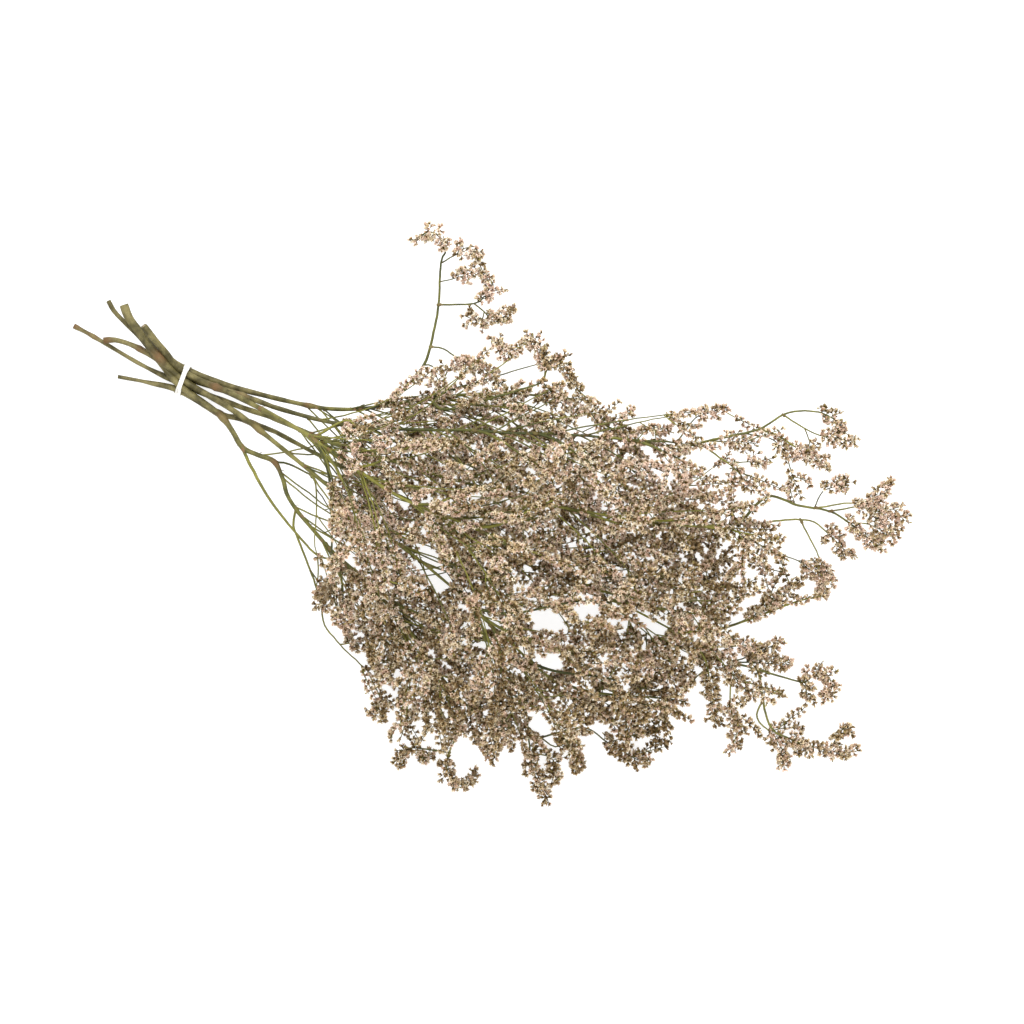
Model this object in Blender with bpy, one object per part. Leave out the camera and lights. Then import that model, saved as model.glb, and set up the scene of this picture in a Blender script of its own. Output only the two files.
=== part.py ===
"""Dried statice: a tied bunch of seven branching stems, as it lies on a table.

Each stem is one solid: its woody axis, the branches that leave it, and the flowering spikes at
their ends. A white elastic band holds the stems together near their cut ends.
The script works in millimetres and writes metres. X runs along the bunch towards the flowers,
Y across it and Z up from the table, with the origin under the middle of the bunch.
"""

import math
import random
from dataclasses import dataclass, field

import bmesh
import bpy
from mathutils import Matrix, Quaternion, Vector

MM = 0.001
SEED = 41
UP = Vector((0, 0, 1))

# Woody parts, as thick as a real dried stem: its axis, and the branches that leave it
STEM_SIDES, STEM_STEP = 5, 36.0
STEM_RADIUS, STEM_TOP_RADIUS = 2.6, 1.3
BRANCH_SEGMENTS = 4
BRANCH_RADIUS, TWIG_RADIUS, TWIG_ROOT_RADIUS = 1.5, 1.0, 0.6
LEAVES_BEHIND, LEAVES_BY_DISTANCE, LEAVES_AT_MOST = 24.0, 0.6, 58.0
BARE_AFTER_TIE = 30.0

# Flowering spikes: two staggered rows of papery funnels on the outer side of a thin twig.
# Each funnel stands for a small cluster of flowers, and is drawn larger than one of them
TWIG_SIDES, SPIKE_SEGMENTS, SPIKE_STEP = 3, 4, 6.5
SPIKE_STALK, SPIKE_ARCH = 8.5, 5.0
FLOWER_LENGTH, FLOWER_HALF_WIDTH = 7.2, 5.7
FLOWER_SPLAY, FLOWER_LEAN = math.radians(38), 0.35
END_FLOWER = 0.85
SIDE_SPIKES = 122
SPIKE_SHARES = (0.78, 0.66, 0.54, 0.42)
SPIKE_ANGLES = (math.radians(58), math.radians(40))
SPIKE_ROLLS = 9
MOST_OUTSIDE = 2
BRANCHES_COMPARED = 7

# Room kept between two twigs, and how near its root a twig may touch its own stem
CLEARANCE = 0.35
BRANCH_ROOM, SPIKE_ROOM = 36.0, 11.0
LOWEST_FLOWER = 1.2

# The elastic band: two turns side by side, its lowest facet flat on the table
TIE_X, BAND_WIDTH, BAND_THICKNESS, BAND_GAP = -244.0, 3.4, 1.2, 0.35
BAND_FACETS, BAND_TURN_OFFSET, BAND_TURN_SKEW = 12, 1.7, 0.9

TABLE_BLOCK = 900.0

# The edge of the flower mass seen from above, and the places where the table shows through it
OUTLINE = (
    (-116, 36), (-89, 65), (-70, 100), (-55, 100), (-39, 118), (-53, 134), (-57, 153), (-78, 168),
    (-97, 167), (-115, 180), (-109, 192), (-83, 198), (-59, 186), (-35, 163), (-23, 156),
    (-23, 138), (5, 144), (32, 136), (58, 111), (88, 124), (146, 141), (182, 138), (217, 163),
    (248, 154), (264, 126), (305, 109), (299, 81), (265, 75), (270, 40), (248, 13), (209, 9),
    (225, -16), (294, -21), (297, -39), (269, -46), (331, -58), (284, -97), (243, -95),
    (212, -84), (182, -134), (144, -117), (139, -152), (123, -181), (90, -146), (61, -198),
    (39, -179), (9, -196), (-23, -164), (-53, -125), (-87, -97), (-87, -65), (-106, -24),
    (-115, 12),
)
CLEARINGS = ((-22, -46), (106, -37), (86, -78), (37, -66), (159, -28))
CLEARING_RADIUS = 9.0
COVER_CELL = 9.0

# Each stem's route from its cut end, through the tie, to its top, and the tip of each branch
STEMS = {
    "spray_upper": (
        ((-266, 37, 7), (-244, 31, 4.15), (-190, 33, 12), (-119, 44, 42), (-62, 73, 62),
         (-3, 98, 72), (50, 112, 74)),
        ((-90, 190, 62), (-37, 160, 58), (-26, 124, 74), (32, 134, 66), (52, 118, 92),
         (-37, 93, 92), (20, 81, 108), (-84, 62, 80), (-6, 76, 9)),
    ),
    "spray_upper_right": (
        ((-306, 32, 11), (-244, 25.4, 4.15), (-190, 27, 19), (-119, 31, 58), (-39, 56, 98),
         (67, 88, 112), (154, 112, 100)),
        ((148, 138, 70), (243, 152, 78), (139, 93, 128), (197, 110, 96), (97, 97, 110),
         (77, 66, 150), (38, 52, 152), (135, 103, 12)),
    ),
    "spray_right": (
        ((-332, 33, 3), (-244, 19.8, 4.15), (-190, 19, 18), (-119, 18, 58), (12, 24, 94),
         (125, 42, 92), (215, 72, 80)),
        ((300, 107, 72), (264, 78, 10), (236, 112, 92), (203, 60, 108), (160, 56, 136),
         (121, 34, 158), (167, 39, 36), (90, 31, 12)),
    ),
    "spray_lower_right": (
        ((-287, 8, 4), (-244, 14.2, 4.15), (-190, 9, 12), (-119, 4, 34), (44, -18, 62),
         (150, -26, 60), (225, -36, 46)),
        ((268, 34, 40), (293, -31, 36), (325, -63, 14), (283, -89, 11), (237, -79, 26),
         (233, -13, 84), (185, -10, 108), (138, -15, 124)),
    ),
    "spray_lower": (
        ((-299, 57, 24), (-244, 22.6, 9.8), (-190, 12, 28), (-119, -12, 58), (2, -55, 88),
         (86, -90, 84), (148, -108, 62)),
        ((199, -77, 28), (178, -125, 14), (117, -131, 26), (121, -175, 9), (141, -78, 98),
         (95, -71, 126), (110, -26, 146), (66, -113, 92)),
    ),
    "spray_left": (
        ((-312, 60, 13), (-244, 17, 9.8), (-190, -4, 20), (-119, -38, 34), (-52, -74, 44),
         (6, -112, 46), (45, -150, 34)),
        ((60, -189, 12), (10, -188, 9), (-20, -162, 14), (76, -150, 40), (24, -129, 76),
         (4, -84, 92), (-59, -119, 12), (-34, -78, 56)),
    ),
    "spray_top": (
        ((-281, 49, 31), (-244, 28.2, 9.8), (-190, 24, 36), (-119, 12, 88), (-56, -4, 120),
         (20, -8, 140), (84, -10, 142)),
        ((-80, -83, 60), (-95, -28, 90), (-99, 6, 104), (-56, 37, 134), (-3, 21, 162),
         (-7, -32, 150), (51, -15, 168), (56, 35, 172)),
    ),
}


@dataclass
class Flower:
    """A funnel on one side of a twig: the segment and side it grows from, and its mouth."""

    segment: int
    side: int
    direction: Vector
    middle: Vector
    along: Vector

    def balls(self):
        """The room the flower takes up: its middle, and the four corners of its mouth."""
        yield self.middle - 0.6 * self.direction, FLOWER_HALF_WIDTH + 0.2
        a = square_to(self.direction, self.along)
        b = self.direction.cross(a)
        for across, along in ((1, 1), (1, -1), (-1, 1), (-1, -1)):
            corner = 0.8 * FLOWER_HALF_WIDTH * (across * a + along * b)
            yield self.middle + corner - 0.6 * self.direction, 1.6


@dataclass
class Twig:
    """A tapered woody path, with flowers along its last segments if it has any."""

    points: list
    radii: list
    outer: Vector
    flowers: list = field(default_factory=list)

    def balls(self, skip=0):
        """The room the twig takes up, from a point of its path onwards."""
        balls = balls_along(self.points[skip:], self.radii[skip:])
        for flower in self.flowers:
            balls.extend(flower.balls())
        if self.flowers:
            forward = (self.points[-1] - self.points[-2]).normalized()
            tip = self.points[-1] + forward * (FLOWER_LENGTH * END_FLOWER - 1.5)
            balls.append((tip, FLOWER_HALF_WIDTH * END_FLOWER + 1.0))
        return balls


class Crowd:
    """The room that the stems already take up, as balls, so that nothing crosses anything."""

    CELL = 14.0

    def __init__(self):
        self.cells = {}
        self.largest = 0.0

    def add(self, owner, balls):
        for centre, radius in balls:
            key = tuple(int(c // self.CELL) for c in centre)
            self.cells.setdefault(key, []).append((owner, centre, radius))
            self.largest = max(self.largest, radius)

    def near(self, centre, reach):
        """The balls in the cells that a reach round a point comes into."""
        low = [int((c - reach) // self.CELL) for c in centre]
        high = [int((c + reach) // self.CELL) for c in centre]
        for i in range(low[0], high[0] + 1):
            for j in range(low[1], high[1] + 1):
                for k in range(low[2], high[2] + 1):
                    yield from self.cells.get((i, j, k), ())

    def is_free(self, owner, balls, root, room):
        """Whether balls are clear of all others, but for their own stem in the room of their root."""
        for centre, radius in balls:
            for other, there, its_radius in self.near(centre, radius + self.largest + CLEARANCE):
                if other == owner and (there - root).length < room:
                    continue
                if (centre - there).length < radius + its_radius + CLEARANCE:
                    return False
        return True


class Cover:
    """How many flowers stand over each cell of the table."""

    def __init__(self):
        self.cells = {}

    def add(self, flowers):
        for flower in flowers:
            key = self.key(flower.middle)
            self.cells[key] = self.cells.get(key, 0) + 1

    def key(self, place):
        return int(place.x // COVER_CELL), int(place.y // COVER_CELL)

    def crowding(self, flowers):
        """How crowded the table already is under these flowers, more so outside the outline."""
        total = 0.0
        for flower in flowers:
            i, j = self.key(flower.middle)
            total += 2 * self.cells.get((i, j), 0)
            total += sum(self.cells.get((i + a, j + b), 0) for a in (-1, 0, 1) for b in (-1, 0, 1))
            if not inside_outline(flower.middle):
                total += 8
            for x, y in CLEARINGS:
                if math.hypot(flower.middle.x - x, flower.middle.y - y) < CLEARING_RADIUS:
                    total += 12
        return total / len(flowers)


def inside_outline(place):
    """Whether a place is inside the outline, by counting the edges beyond it."""
    inside = False
    for (x0, y0), (x1, y1) in zip(OUTLINE, OUTLINE[1:] + OUTLINE[:1]):
        if (y0 > place.y) != (y1 > place.y):
            if place.x < x0 + (place.y - y0) * (x1 - x0) / (y1 - y0):
                inside = not inside
    return inside


def smooth_route(points, step):
    """Points about a step apart on the Catmull-Rom curve through the given ones."""
    knots = [Vector(p) for p in points]
    knots = [2 * knots[0] - knots[1], *knots, 2 * knots[-1] - knots[-2]]
    route = []
    for a, b, c, d in zip(knots, knots[1:], knots[2:], knots[3:]):
        pieces = max(1, round((c - b).length / step))
        for n in range(pieces):
            t = n / pieces
            route.append(
                0.5 * (2 * b + (c - a) * t + (2 * a - 5 * b + 4 * c - d) * t * t
                       + (3 * b - a - 3 * c + d) * t ** 3)
            )
    return [*route, knots[-2]]


def bezier(start, leave, arrive, end, share):
    """The place at a share of the way along a cubic curve."""
    rest = 1 - share
    return (rest ** 3 * start + 3 * rest * rest * share * leave
            + 3 * rest * share * share * arrive + share ** 3 * end)


def station(points, share):
    """The place and direction at a share of the way along a path."""
    lengths = [(b - a).length for a, b in zip(points, points[1:])]
    left = share * sum(lengths)
    for a, b, length in zip(points, points[1:], lengths):
        if left <= length:
            return a + (b - a) * (left / length), (b - a).normalized()
        left -= length
    return points[-1].copy(), (points[-1] - points[-2]).normalized()


def balls_along(points, radii):
    """Balls that cover a tapered path."""
    balls = []
    for a, b, ra, rb in zip(points, points[1:], radii, radii[1:]):
        pieces = max(1, math.ceil((b - a).length / 2.0))
        for n in range(pieces + 1):
            t = n / pieces
            balls.append((a.lerp(b, t), ra + (rb - ra) * t))
    return balls


def taper(count, first, last):
    """That many radii, thinning evenly."""
    return [first + (last - first) * n / (count - 1) for n in range(count)]


def square_to(direction, outer):
    """The part of outer that is square to a direction, as a unit vector."""
    side = outer - direction * outer.dot(direction)
    if side.length < 1e-4:
        side = direction.orthogonal()
    return side.normalized()


def frames(points, outer):
    """The direction and the outer side at each point of a path, without twist."""
    found = []
    for n in range(len(points)):
        before, after = points[max(n - 1, 0)], points[min(n + 1, len(points) - 1)]
        along = (after - before).normalized()
        outer = square_to(along, outer)
        found.append((along, outer))
    return found


def flowering(points, outer, segments):
    """The flowers on the last segments of a twig, in two staggered rows on its outer side."""
    flowers = []
    held = frames(points, outer)
    first = len(points) - 1 - segments
    for n in range(first, len(points) - 1):
        along = (points[n + 1] - points[n]).normalized()
        up = square_to(along, held[n][1] + held[n + 1][1])
        hand = 1 if n % 2 else -1
        aside = hand * math.sin(FLOWER_SPLAY) * along.cross(up)
        direction = (math.cos(FLOWER_SPLAY) * up + aside + FLOWER_LEAN * along).normalized()
        middle = points[n].lerp(points[n + 1], 0.5) + direction * FLOWER_LENGTH
        flowers.append(Flower(n, 0 if hand > 0 else 2, direction, middle, along))
    return flowers


def branch_start(stem, tip):
    """The share of the stem's length at which the branch to this tip leaves it."""
    lengths = [0.0]
    for a, b in zip(stem, stem[1:]):
        lengths.append(lengths[-1] + (b - a).length)
    nearest = min(range(len(stem)), key=lambda n: (stem[n] - tip).length)
    aside = (stem[nearest] - tip).length
    leaves = lengths[nearest] - min(LEAVES_BEHIND + LEAVES_BY_DISTANCE * aside, LEAVES_AT_MOST)
    first = next(at for at, point in zip(lengths, stem) if point.x > TIE_X + BARE_AFTER_TIE)
    return min(max(leaves, first), 0.97 * lengths[-1]) / lengths[-1]


def grow_branch(stem, tip, crowd, owner):
    """The branch to a tip, arched away from its stem and bent clear of the other stems."""
    start, forward = station(stem, branch_start(stem, tip))
    reach = (tip - start).length
    towards = (tip - start).normalized()
    leave = start + (0.85 * forward + 0.45 * towards).normalized() * reach * 0.35
    arrive = tip - (towards - 0.28 * UP + 0.18 * forward).normalized() * reach * 0.33
    aside = square_to(towards, UP)
    flowering_share = min(0.55, SPIKE_SEGMENTS * SPIKE_STEP / reach)
    shares = [(1 - flowering_share) * n / BRANCH_SEGMENTS for n in range(BRANCH_SEGMENTS)]
    shares += [1 - flowering_share * (1 - n / SPIKE_SEGMENTS) for n in range(SPIKE_SEGMENTS + 1)]
    radii = taper(len(shares), BRANCH_RADIUS, TWIG_RADIUS)
    for attempt in range(60):
        shift = Quaternion(towards, attempt * 2.4) @ aside * 3.0 * math.sqrt(attempt)
        points = [bezier(start, leave + shift, arrive + shift, tip, share) for share in shares]
        first_outer = Quaternion(forward, attempt * 0.9) @ UP
        flowers = flowering(points, first_outer, SPIKE_SEGMENTS)
        branch = Twig(points, radii, first_outer, flowers)
        lowest = min(flower.middle.z for flower in flowers)
        if lowest > LOWEST_FLOWER and min(p.z for p in points) > BRANCH_RADIUS:
            if crowd.is_free(owner, branch.balls(), start, BRANCH_ROOM):
                return branch
    return None


def spike_at(start, along, angle, roll):
    """A flowering side twig that leaves its branch at an angle and arches outwards."""
    away = Quaternion(along, roll) @ square_to(along, UP)
    direction = (math.cos(angle) * along + math.sin(angle) * away).normalized()
    outer = square_to(direction, away + UP)
    points = [start]
    for n in range(SPIKE_SEGMENTS + 1):
        rise = SPIKE_ARCH * (n / SPIKE_SEGMENTS) ** 2
        points.append(start + direction * (SPIKE_STALK + n * SPIKE_STEP) + outer * rise)
    radii = [TWIG_ROOT_RADIUS] + [TWIG_RADIUS] * (SPIKE_SEGMENTS + 1)
    return Twig(points, radii, outer, flowering(points, outer, SPIKE_SEGMENTS))


def grow_spike(branch, crowd, cover, owner, rng):
    """The side spike that stands over the barest place of those that a branch has room for."""
    choices = []
    turn = rng.uniform(0, math.tau)
    for share in SPIKE_SHARES:
        start, along = station(branch.points, share)
        for angle in SPIKE_ANGLES:
            for n in range(SPIKE_ROLLS):
                spike = spike_at(start, along, angle, turn + math.tau * n / SPIKE_ROLLS)
                crowding = cover.crowding(spike.flowers) + rng.uniform(0, 0.3)
                choices.append((crowding, len(choices), spike))
    for crowding, _, spike in sorted(choices, key=lambda choice: choice[:2]):
        low_flower = min(flower.middle.z for flower in spike.flowers) < LOWEST_FLOWER
        low_twig = min(point.z for point in spike.points) < TWIG_RADIUS
        outside = sum(not inside_outline(flower.middle) for flower in spike.flowers)
        if low_flower or low_twig or outside > MOST_OUTSIDE:
            continue
        if crowd.is_free(owner, spike.balls(skip=1), spike.points[0], SPIKE_ROOM):
            return crowding, spike
    return None


def material(name, colour, roughness):
    made = bpy.data.materials.new(name)
    made.use_nodes = True
    shader = made.node_tree.nodes["Principled BSDF"]
    shader.inputs["Base Color"].default_value = (*colour, 1.0)
    shader.inputs["Roughness"].default_value = roughness
    shader.inputs["Metallic"].default_value = 0.0
    return made


def solid(name, bm, materials, collection=None):
    """Turns a mesh in millimetres into an object in metres."""
    bmesh.ops.scale(bm, vec=(MM, MM, MM), verts=bm.verts)
    bmesh.ops.triangulate(bm, faces=bm.faces)
    mesh = bpy.data.meshes.new(name)
    bm.to_mesh(mesh)
    bm.free()
    for one in materials:
        mesh.materials.append(one)
    made = bpy.data.objects.new(name, mesh)
    (collection or bpy.context.scene.collection).objects.link(made)
    return made


def tube(bm, points, radii, sides, outer):
    """A closed tube. Returns its side faces, a list for each segment, and its end face."""
    rings = []
    for centre, radius, (along, up) in zip(points, radii, frames(points, outer)):
        across = along.cross(up)
        rings.append([
            bm.verts.new(centre + radius * (math.cos(a) * up + math.sin(a) * across))
            for a in (math.tau * k / sides for k in range(sides))
        ])
    bm.faces.new(rings[0][::-1])
    segments = []
    for low, high in zip(rings, rings[1:]):
        segments.append([
            bm.faces.new((low[k], low[(k + 1) % sides], high[(k + 1) % sides], high[k]))
            for k in range(sides)
        ])
    return segments, bm.faces.new(rings[-1])


def draw_funnel(bm, face, direction, length, half_width):
    """Draws a face of a twig out into a flower's funnel."""
    mouth = bmesh.ops.extrude_discrete_faces(bm, faces=[face])["faces"][0]
    base = mouth.calc_center_median()
    side = square_to(direction, mouth.verts[0].co - base)
    for n, vert in enumerate(mouth.verts):
        turn = Quaternion(direction, math.tau * n / len(mouth.verts))
        vert.co = base + length * direction + half_width * math.sqrt(2) * (turn @ side)
    for edge in mouth.edges:
        for petal in edge.link_faces:
            petal.material_index = 1


def twig_solid(name, twig, materials, collection):
    """A twig with its flowers as one closed solid."""
    bm = bmesh.new()
    segments, end = tube(bm, twig.points, twig.radii, TWIG_SIDES, twig.outer)
    for flower in twig.flowers:
        face = segments[flower.segment][flower.side]
        draw_funnel(bm, face, flower.direction, FLOWER_LENGTH, FLOWER_HALF_WIDTH)
    forward = (twig.points[-1] - twig.points[-2]).normalized()
    draw_funnel(bm, end, forward, FLOWER_LENGTH * END_FLOWER, FLOWER_HALF_WIDTH * END_FLOWER)
    return solid(name, bm, materials, collection)


def union(trunk, collection, floor):
    """Fuses a stem with its branches and spikes, and flattens what would sink into the table."""
    join = trunk.modifiers.new("join", "BOOLEAN")
    join.operation = "UNION"
    join.operand_type = "COLLECTION"
    join.collection = collection
    join.solver = "MANIFOLD"
    trim = trunk.modifiers.new("trim", "BOOLEAN")
    trim.operation = "DIFFERENCE"
    trim.object = floor
    trim.solver = "MANIFOLD"
    graph = bpy.context.evaluated_depsgraph_get()
    fused = bpy.data.meshes.new_from_object(trunk.evaluated_get(graph))
    trunk.modifiers.clear()
    trunk.data = fused
    trunk.data.name = trunk.name
    for one in list(collection.objects):
        bpy.data.objects.remove(one)
    bpy.data.collections.remove(collection)


def table_block():
    """What the table would take away from a part that reached below it."""
    bm = bmesh.new()
    bmesh.ops.create_cube(bm, size=TABLE_BLOCK)
    bmesh.ops.translate(bm, verts=bm.verts, vec=(0, 0, -TABLE_BLOCK / 2))
    block = solid("table_block", bm, [])
    block.hide_render = True
    block.display_type = "WIRE"
    return block


def band_turn(name, stems, x, skew, colours, collection=None):
    """One turn of the band, snug round the stems where they cross its plane."""
    near = [(point, radius) for stem in stems for point, radius in stem.balls()
            if abs(point.x - x) < BAND_WIDTH / 2 + 1.6]
    normals = [math.tau * n / BAND_FACETS - math.pi / 2 for n in range(BAND_FACETS)]
    reach = [max(p.y * math.cos(a) + p.z * math.sin(a) + r for p, r in near) + BAND_GAP
             for a in normals]
    bm = bmesh.new()
    loops = []
    for thickness, dx in ((0, -1), (BAND_THICKNESS, -1), (BAND_THICKNESS, 1), (0, 1)):
        loop = []
        for n, angle in enumerate(normals):
            following = (n + 1) % BAND_FACETS
            d0, d1 = reach[n] + thickness, reach[following] + thickness
            turn = math.sin(normals[following] - angle)
            y = (d0 * math.sin(normals[following]) - d1 * math.sin(angle)) / turn
            z = (d1 * math.cos(angle) - d0 * math.cos(normals[following])) / turn
            lean = skew * math.sin(angle)
            loop.append(bm.verts.new((x + dx * BAND_WIDTH / 2 + lean, y, z)))
        loops.append(loop)
    for loop, beside in zip(loops, loops[1:] + loops[:1]):
        for n in range(BAND_FACETS):
            m = (n + 1) % BAND_FACETS
            bm.faces.new((loop[n], loop[m], beside[m], beside[n]))
    bmesh.ops.recalc_face_normals(bm, faces=bm.faces)
    return solid(name, bm, colours, collection)


def new_collection(name):
    made = bpy.data.collections.new(name)
    bpy.context.scene.collection.children.link(made)
    return made


def centre_on_origin(solids):
    """Moves the meshes so that the middle of the bunch's footprint is at the origin."""
    places = [vert.co for one in solids for vert in one.data.vertices]
    middle = [(min(p[i] for p in places) + max(p[i] for p in places)) / 2 for i in (0, 1)]
    print("moved by", *(round(-m / MM, 3) for m in middle), "mm to centre the footprint")
    for one in solids:
        one.data.transform(Matrix.Translation((-middle[0], -middle[1], 0)))


def grow_bunch():
    """Every stem's axis and the twigs fused to it, none crossing another stem."""
    crowd, cover, rng = Crowd(), Cover(), random.Random(SEED)
    axes = {}
    twigs = {name: [] for name in STEMS}
    for name, (route, _) in STEMS.items():
        points = smooth_route(route, STEM_STEP)
        axes[name] = Twig(points, taper(len(points), STEM_RADIUS, STEM_TOP_RADIUS), UP)
        crowd.add(name, axes[name].balls())
    order = [(name, Vector(tip)) for name, (_, tips) in STEMS.items() for tip in tips]
    for name, tip in order:
        branch = grow_branch(axes[name].points, tip, crowd, name)
        if branch is None:
            print("no room for the branch of", name, "to", tuple(tip))
            continue
        crowd.add(name, branch.balls())
        cover.add(branch.flowers)
        twigs[name].append(branch)
    branches = [(name, branch) for name, grown in twigs.items() for branch in grown]
    for _ in range(SIDE_SPIKES):
        grown = []
        for name, branch in rng.sample(branches, BRANCHES_COMPARED):
            found = grow_spike(branch, crowd, cover, name, rng)
            if found:
                grown.append((found[0], name, found[1]))
        if grown:
            _, name, spike = min(grown, key=lambda one: one[:2])
            crowd.add(name, spike.balls())
            cover.add(spike.flowers)
            twigs[name].append(spike)
    return axes, twigs


def main():
    for old in list(bpy.data.objects):
        bpy.data.objects.remove(old)
    wood = material("olive_stem", (0.16, 0.15, 0.045), 0.75)
    petals = material("papery_flower", (0.42, 0.33, 0.27), 0.9)
    elastic = material("white_elastic", (0.83, 0.82, 0.78), 0.6)
    floor = table_block()
    axes, twigs = grow_bunch()
    for name, axis in axes.items():
        bm = bmesh.new()
        tube(bm, axis.points, axis.radii, STEM_SIDES, UP)
        trunk = solid(name, bm, [wood, petals])
        parts = new_collection(name + "_parts")
        for twig in twigs[name]:
            twig_solid("twig", twig, [wood, petals], parts)
        union(trunk, parts, floor)
    stems = list(axes.values())
    band = band_turn("elastic_band", stems, TIE_X - BAND_TURN_OFFSET, BAND_TURN_SKEW, [elastic])
    turns = new_collection("turns")
    band_turn("turn", stems, TIE_X + BAND_TURN_OFFSET, -BAND_TURN_SKEW, [elastic], turns)
    union(band, turns, floor)
    centre_on_origin([one for one in bpy.context.scene.objects if one is not floor])


main()
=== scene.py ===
"""Dried statice, dressed: seven branching stems of papery flowers, tied with an elastic band.

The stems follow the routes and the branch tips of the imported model. Sizes here are in
millimetres and meshes are written in metres. X runs along the bunch towards the flowers, Y across
it and Z up from the table.
"""

import logging
import math
import random
from dataclasses import dataclass, field
from enum import Enum

import bpy
import numpy as np
from mathutils import Matrix, Quaternion, Vector


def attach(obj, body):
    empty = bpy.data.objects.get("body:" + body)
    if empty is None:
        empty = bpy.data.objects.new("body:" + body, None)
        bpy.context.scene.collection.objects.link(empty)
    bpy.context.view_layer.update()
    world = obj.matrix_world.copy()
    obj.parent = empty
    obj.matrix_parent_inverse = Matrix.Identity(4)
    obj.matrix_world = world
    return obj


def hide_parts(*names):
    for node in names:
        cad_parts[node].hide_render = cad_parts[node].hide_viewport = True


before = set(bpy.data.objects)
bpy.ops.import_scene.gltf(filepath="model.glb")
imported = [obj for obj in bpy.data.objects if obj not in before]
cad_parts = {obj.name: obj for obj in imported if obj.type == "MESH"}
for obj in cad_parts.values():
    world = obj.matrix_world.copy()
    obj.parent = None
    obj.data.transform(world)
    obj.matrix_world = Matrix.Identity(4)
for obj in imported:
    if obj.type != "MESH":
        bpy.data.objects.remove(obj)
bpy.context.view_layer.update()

LOG = logging.getLogger("dried_statice")
MM = 0.001
UP = Vector((0, 0, 1))
SEED = 41
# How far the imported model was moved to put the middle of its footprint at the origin
CENTRED = Vector((-0.119, 0.078, 0.0))
FLOWER_MAP = "OFBake"
TONE_CELLS = 8

# The edge of the flower mass seen from above, and the places where the table shows through it
OUTLINE = (
    (-116, 36), (-89, 65), (-70, 100), (-55, 100), (-39, 118), (-53, 134), (-57, 153), (-78, 168),
    (-97, 167), (-115, 180), (-109, 192), (-83, 198), (-59, 186), (-35, 163), (-23, 156),
    (-23, 138), (5, 144), (32, 136), (58, 111), (88, 124), (146, 141), (182, 138), (217, 163),
    (248, 154), (264, 126), (305, 109), (299, 81), (265, 75), (270, 40), (250, 12), (232, 4),
    (214, -3), (225, -16), (294, -21), (297, -39), (269, -46), (331, -58), (284, -97), (243, -95),
    (212, -84), (182, -134), (144, -117), (139, -152), (123, -181), (90, -146), (61, -198),
    (39, -179), (9, -196), (-23, -164), (-53, -125), (-87, -97), (-87, -65), (-106, -24),
    (-115, 12),
)
# Each clearing's place and radius
CLEARINGS = (
    (-23, -42, 10), (-10, -52, 10), (37, -69, 8), (73, -54, 10), (86, -54, 9), (101, -35, 7),
    (90, -82, 9), (-5, 68, 7), (58, 90, 8), (-56, -3, 6), (-73, -63, 8), (159, -28, 7),
    (4, 116, 9), (-8, 117, 7), (-71, 78, 9), (-65, 105, 6), (-43, 83, 6), (-22, 144, 7),
    (95, 118, 8), (146, 100, 7), (156, 98, 7), (156, 131, 7), (186, 122, 6), (203, 113, 6),
    (214, 84, 6), (232, 72, 7), (241, 63, 8), (252, 88, 6), (218, -7, 8), (200, -74, 7),
    (104, -131, 7), (95, -125, 6), (61, -173, 7),
)

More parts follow.
